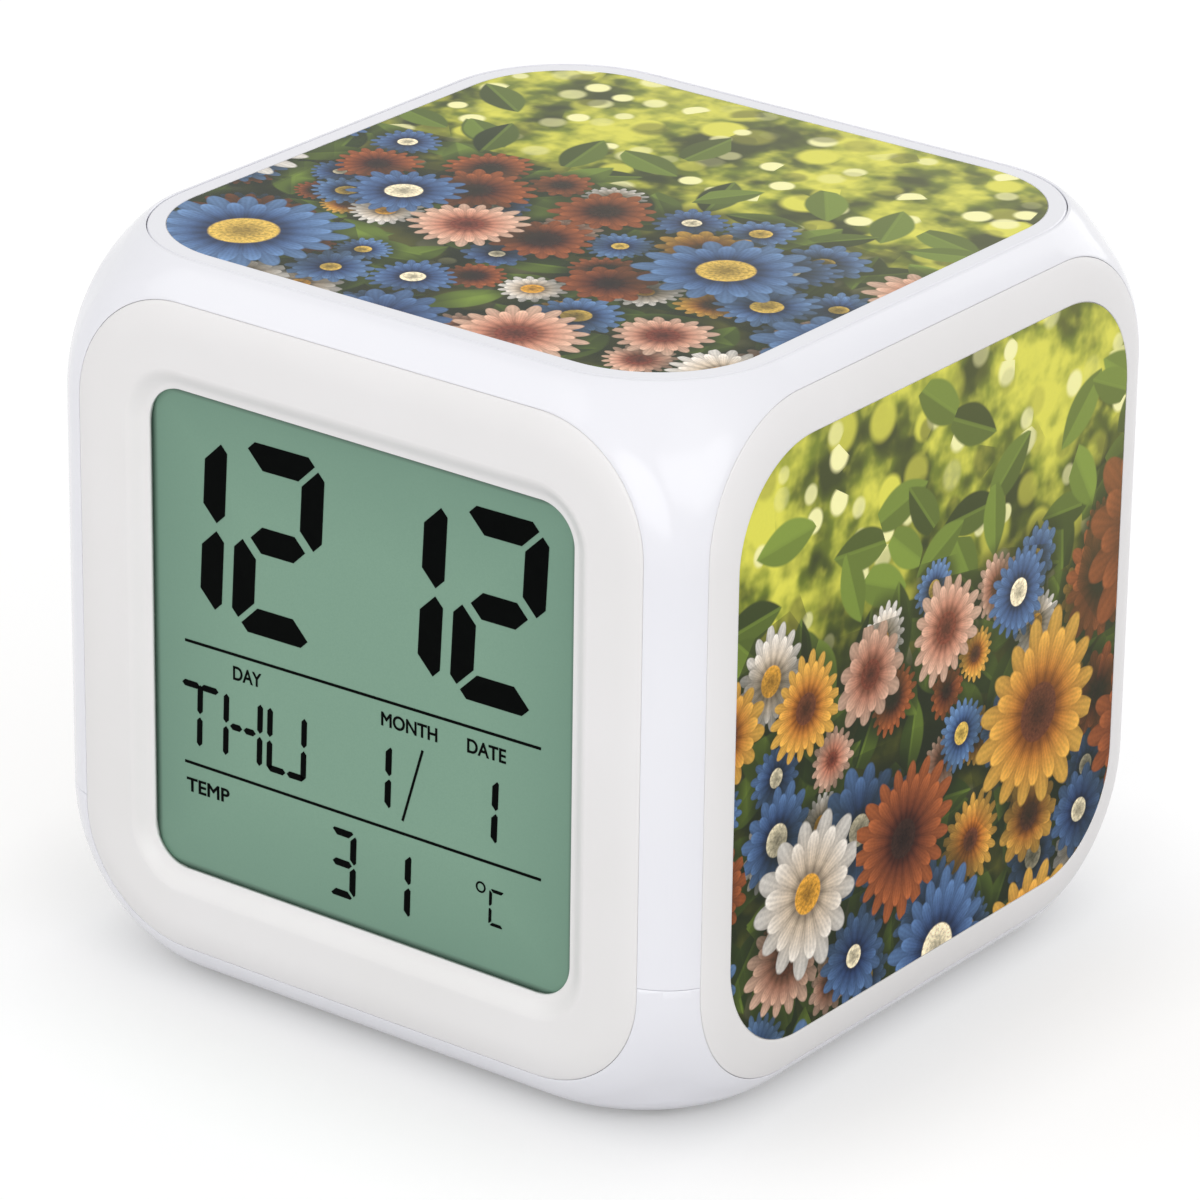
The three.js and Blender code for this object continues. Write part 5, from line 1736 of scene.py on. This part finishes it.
def springTree():
    tree, given, end = geometryTree("windSpring", (
        ("Places", "Geometry", None), ("Turns", "Float", 3.0), ("Height", "Float", 0.004),
        ("Base Radius", "Float", 0.002), ("Tip Radius", "Float", 0.002), ("Wire", "Float", 0.0005),
        ("Finish", "Material", None), ("Loose Turn", "Float", 0.0), ("Seed", "Int", 3)))
    radii = {"Start Radius": given["Base Radius"], "End Radius": given["Tip Radius"]}
    spiral = add(tree, "GeometryNodeCurveSpiral", Resolution=springSteps[0],
                 Rotations=given["Turns"], Height=given["Height"], **radii)
    wire = add(tree, "GeometryNodeCurvePrimitiveCircle", Resolution=springSteps[1],
               Radius=times(given["Wire"], 0.5))
    ends = {"Profile Curve": wire.outputs["Curve"], "Fill Caps": True}
    tube = add(tree, "GeometryNodeCurveToMesh", Curve=spiral.outputs["Curve"], **ends)
    setOnPoints(tree, given, tube.outputs["Mesh"], end)
    return tree


trees = {"form": repeatTree(), "spring": springTree()}


# a plain mesh from a tree over places, each a point in millimetres and a facing
def grow(name, tree, places, **inputs):
    mesh = bpy.data.meshes.new(name)
    mesh.from_pydata([Vector(point) * mm for point, _ in places], [], [])
    facing = mesh.attributes.new("facing", "FLOAT_VECTOR", "POINT")
    for index, (_, way) in enumerate(places):
        facing.data[index].vector = way
    piece = placed(name, mesh)
    modifier = piece.modifiers.new("grow", "NODES")
    modifier.node_group = trees[tree]
    sockets = {item.name: item.identifier for item in trees[tree].interface.items_tree
               if item.in_out == "INPUT"}
    for label, value in inputs.items():
        modifier[sockets[label.replace("_", " ")]] = value
    settle(piece)
    if "facing" in piece.data.attributes:
        piece.data.attributes.remove(piece.data.attributes["facing"])
    if "Form" in inputs:
        bpy.data.objects.remove(inputs["Form"])
    return piece


# a solid of revolution about z, its profile from the axis back to the axis
def lathe(name, profile, steps=40):
    turns = [2 * math.pi * step / steps for step in range(steps)]
    points = [Vector((radius * math.cos(turn), radius * math.sin(turn), height)) * mm
              for radius, height in profile for turn in turns]
    return addPiece(name, points, ringFaces(0, len(profile), steps))


# Battery door

door = {
    "half": (24.1, 22.0),
    "corner": 2.2,
    "edge": 0.2,
    # growth and depth of the outer rings, in shares of the edge
    "rings": ((0, 1), (-0.1, 0.6), (-midArc, midArc), (-0.6, 0.1), (-1, 0)),
    "scoop": {"middle": 12.7, "radius": 9.0, "depth": 0.8, "above": 0.3, "span": 1.098, "steps": 12,
              "rim": 0.12, "flare": 6},
    "slots": {"size": (0.7, 8.0), "spread": 4.35, "middle": 13.2},
    "nib": {"middle": 15.9, "tall": 1.0, "thick": 0.7},
    "ridge": {"length": 4.8, "width": 0.5, "pitch": 1.3, "base": 39,
              # shrink and height of its rings
              "rings": ((0, 0), (0, 0.62), (0.07, 0.75), (0.2, 0.8)), "endShare": 0.8},
}


# a spherical hollow under the door's face, its rim softened
def scoopCutter():
    scoop = door["scoop"]
    sink = scoop["radius"] - scoop["depth"]
    rings = []
    for step in range(scoop["steps"] + 1):
        depth = -scoop["above"] + scoop["span"] * step / scoop["steps"]
        radius = math.sqrt(scoop["radius"] ** 2 - (sink + depth) ** 2)
        flare = max(0, scoop["rim"] - depth) ** 2 * scoop["flare"]
        rings.append(flatRing(circle(0, scoop["middle"], radius + flare), depth))
    return loft("scoop", "rear", rings)


def ridgeForm():
    ridge = door["ridge"]
    points = []
    for shrink, height in ridge["rings"]:
        half = ridge["width"] / 2 - shrink * ridge["endShare"]
        spots = outline(ridge["length"] / 2 - shrink, half, half)
        points += [Vector((x, y, height)) * mm for x, y in spots]
    count = len(spots)
    last = len(points) - count
    return addPiece("ridge", points, [*ringFaces(0, len(ridge["rings"]), count), tuple(range(count)),
                                      tuple(range(last, len(points)))])


def makeDoor():
    wall = seams["walls"]["rear"]
    edge = door["edge"]
    around = growing(door["half"], door["corner"], (0, doorway["middle"]))
    rings = [flatRing(around(by * edge), depth * edge) for by, depth in door["rings"]]
    piece = loft("battery_cover", "rear", [flatRing(around(0), wall), *rings])
    combine(piece, "UNION", innerParts("battery_door", roomBehind("rear")))
    slots = [faceBox("rear", (side * door["slots"]["spread"], door["slots"]["middle"]),
                     door["slots"]["size"], -1, wall + 1) for side in (-1, 1)]
    combine(piece, "DIFFERENCE", scoopCutter(), *slots)
    nib, ridge = door["nib"], door["ridge"]
    nibBlock = faceBox("rear", (0, nib["middle"]), (catch["width"], nib["tall"]), catch["near"],
                       catch["near"] + nib["thick"])
    height = body["middle"] + door["scoop"]["middle"]
    places = [((0, ridge["base"], height + row * ridge["pitch"]), (0, 1, 0)) for row in (-1, 0, 1)]
    ridges = grow("ridges", "form", places, Form=ridgeForm(), Finish=finishes["panelSatin"])
    combine(piece, "UNION", nibBlock, ridges)
    shadeFaces(piece)
    dress(piece, finishes["panelSatin"], "door", ["battery_door"])


# Buttons

buttonLook = {
    "sunk": 0.2,
    # radius and depth behind the crown, from the stem's end out and round to a dished middle
    "profile": ((1.35, 5.9), (1.5, 5.75), (1.5, 2.8), (3.62, 2.8), (3.7, 2.72), (3.7, 1.88),
                (3.62, 1.8), (2.9, 1.8), (2.9, 0.42), (2.86, 0.24), (2.76, 0.11), (2.62, 0.03),
                (2.42, 0), (2.1, 0.02), (1.7, 0.08), (1.1, 0.15), (0.5, 0.18), (0.2, 0.185)),
    "keys": {"mode": -21, "set": -7, "up": 7, "down": 21},
}


def makeButtons():
    for key, u in buttonLook["keys"].items():
        rings = [flatRing(circle(u, buttonRow["height"], radius), buttonLook["sunk"] + depth)
                 for radius, depth in buttonLook["profile"]]
        piece = loft(key + "_button", "rear", rings)
        shadeFaces(piece, 40)
        dress(piece, finishes["panelSatin"], key + "_key", ["button_" + key])


# Screws, feet, cells and springs

# shares of the shank's radius, then of the head's radius and height
screwShape = {
    "pitch": 0.55,
    "root": 0.8,
    "tip": 0.3,
    "taper": 0.75,                  # where the point meets the thread
    "plain": 1.6,                   # length without thread
    "neck": (0.5, 0.85),            # its length and the radius at its end
    "head": ((0.97, 0), (1, 0.08), (1, 0.4)),
    "domeSteps": 6,
    "dome": (0.62, 0.38),
    "crown": 0.6,
    "cross": (0.55, 0.14, 0.6),     # half length, half width and depth
}


def screwForm(radius, length, headRadius, headHeight):
    shape = screwShape
    pitch, root = radius * shape["pitch"], radius * shape["root"]
    profile = [(0, -length), (radius * shape["tip"], -length),
               (radius * shape["taper"], -length + root)]
    start = -length + radius
    for turn in range(int((length - radius * shape["plain"]) / pitch)):
        profile += [(root, start + turn * pitch), (radius, start + (turn + 0.5) * pitch)]
    neck, shoulder = shape["neck"]
    profile += [(root, -radius * neck), (radius * shoulder, 0)]
    profile += [(headRadius * out, headHeight * up) for out, up in shape["head"]]
    flat, fall = shape["dome"]
    low = shape["head"][-1][1]
    for step in range(1, shape["domeSteps"]):
        turn = math.radians(90) * step / shape["domeSteps"]
        profile.append((headRadius * (flat + fall * math.cos(turn)),
                        headHeight * (low + (1 - low) * math.sin(turn))))
    profile += [(headRadius * shape["crown"], headHeight), (0, headHeight)]
    piece = lathe("screw", profile, 32)
    wide, thin = (headRadius * share for share in shape["cross"][:2])
    low, high = headHeight * (1 - shape["cross"][2]), headHeight + 1
    combine(piece, "DIFFERENCE", box((-wide, -thin, low), (wide, thin, high)),
            box((-thin, -wide, low), (thin, wide, high)))
    return piece


# node name, count, radius of the shank, head radius and height, way that the head faces
screwSets = {
    "base_screws": ("base_screw", 4, 1.1, 2.3, 1.6, (0, 0, -1)),
    "board_screws": ("board_screw", 4, 0.8, 1.7, 1, (0, 1, 0)),
    "key_screws": ("key_screw", 2, 0.8, 1.7, 1, (0, -1, 0)),
}


def makeScrews():
    for name, (node, count, radius, headRadius, headHeight, way) in screwSets.items():
        nodes, places = numbered(node, count), []
        for each in nodes:
            low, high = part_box(each)
            middle, span = (low + high) / 2 / mm, (high - low) / mm
            out = Vector(way)
            reach = abs(span.dot(out)) / 2
            places.append((middle + out * (reach - headHeight), way))
            length = 2 * reach - headHeight
        form = screwForm(radius, length, headRadius, headHeight)
        piece = grow(name, "form", places, Form=form, Finish=finishes["zincSteel"], Loose_Turn=anyTurn)
        shadeFaces(piece, 35)
        dress(piece, finishes["zincSteel"], replaces=nodes)


# radius and height of each ring
footProfile = ((0, 0.12), (1.6, 0.12), (1.75, 0), (2.6, 0), (2.75, 0.12), (3.1, 0.12), (3.25, 0),
               (4.05, 0), (4.3, 0.08), (4.44, 0.22), (4.5, 0.42), (4.5, 1.42), (4.42, 1.5), (0, 1.5))


def makeFeet():
    nodes, places = numbered("foot"), []
    for node in nodes:
        middle = nodeMiddle(node)
        places.append(((middle.x, middle.y, 0), (0, 0, 1)))
    piece = grow("rubber_feet", "form", places, Form=lathe("foot", footProfile, 56),
                 Finish=finishes["rubberGrey"])
    shadeFaces(piece, 40)
    dress(piece, finishes["rubberGrey"], replaces=nodes)


cellHalf = 22.25
# radius, height from the middle, zone
cellProfile = (
    (0, -cellHalf, 1), (4.2, -cellHalf, 1), (4.55, -22.12, 1), (4.72, -22.0, 1), (4.8, -21.98, 1),
    (4.8, -21.97, 0), (5.05, -21.96, 0), (5.2, -21.86, 0), (5.25, -21.7, 0), (5.25, 12.0, 0),
    (5.25, 12.01, 0.5), (5.25, 20.8, 0.5), (5.2, 20.95, 0.5), (5.05, 21.05, 0.5), (4.7, 21.06, 0.5),
    (4.7, 21.07, 1), (4.5, 21.2, 1), (4.3, 21.3, 1), (2.3, 21.33, 1), (2.05, 21.4, 1), (1.98, 21.6, 1),
    (1.95, 22.0, 1), (1.85, 22.18, 1), (1.65, cellHalf, 1), (0, cellHalf, 1),
)


def makeCells():
    form = lathe("cell", [(radius, height) for radius, height, _ in cellProfile], 56)
    zones = form.data.attributes.new("zone", "FLOAT", "POINT")
    for index, vertex in enumerate(form.data.vertices):
        height = vertex.co.z / mm
        zones.data[index].value = min(cellProfile, key=lambda ring: abs(ring[1] - height))[2]
    nodes = numbered("cell")
    places = [(nodeMiddle(node), (1 if index % 2 else -1, 0, 0)) for index, node in enumerate(nodes)]
    piece = grow("cells", "form", places, Form=form, Finish=finishes["cellJacket"])
    shadeFaces(piece, 40)
    dress(piece, finishes["cellJacket"], replaces=nodes)


plateSprings = {"turns": 3.0, "wire": 0.5, "travel": 0.8}


def makeSprings():
    nodes = numbered("plate_spring")
    wire = plateSprings["wire"]
    low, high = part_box(nodes[0])
    radius = (high.x - low.x) / 2 / mm - wire / 2
    tall = (high.z - low.z) / mm - wire
    places = []
    for node in nodes:
        middle = nodeMiddle(node)
        places.append(((middle.x, middle.y, low.z / mm + wire / 2), (0, 0, 1)))
    piece = grow("plate_springs", "spring", places, Turns=plateSprings["turns"], Height=tall * mm,
                 Base_Radius=radius * mm, Tip_Radius=radius * mm, Wire=wire * mm,
                 Finish=finishes["springSteel"])
    closeMesh(piece.data)
    shadeFaces(piece, 50)
    dress(piece, finishes["springSteel"], replaces=nodes)
    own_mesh(piece)


# The model's own nodes that stay, each with its finish

kept = {
    "innerWhite": ("lcd_holder", "battery_box", "snooze_stem"),
    "rubberGrey": ("zebra_strip",),
    "circuitBoard": ("main_board", "key_board"),
    "blackPlastic": ("controller_chip", "snooze_switch", *numbered("key_switch"), "buzzer"),
    "clearPlastic": ("glow_led_left", "glow_led_right"),
    "springSteel": ("contact_plus", "contact_minus", "contact_bridge_left",
                    *numbered("contact_bridge_right", 2)),
    "redInsulation": ("battery_lead_plus",),
    "blackInsulation": ("battery_lead_minus",),
}


def refinish():
    for finish, nodes in kept.items():
        for node in nodes:
            setFinish(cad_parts[node], finishes[finish])


makeDoor()
makeButtons()
makeScrews()
makeFeet()
makeCells()
makeSprings()
refinish()
print("door, buttons and inner pieces")
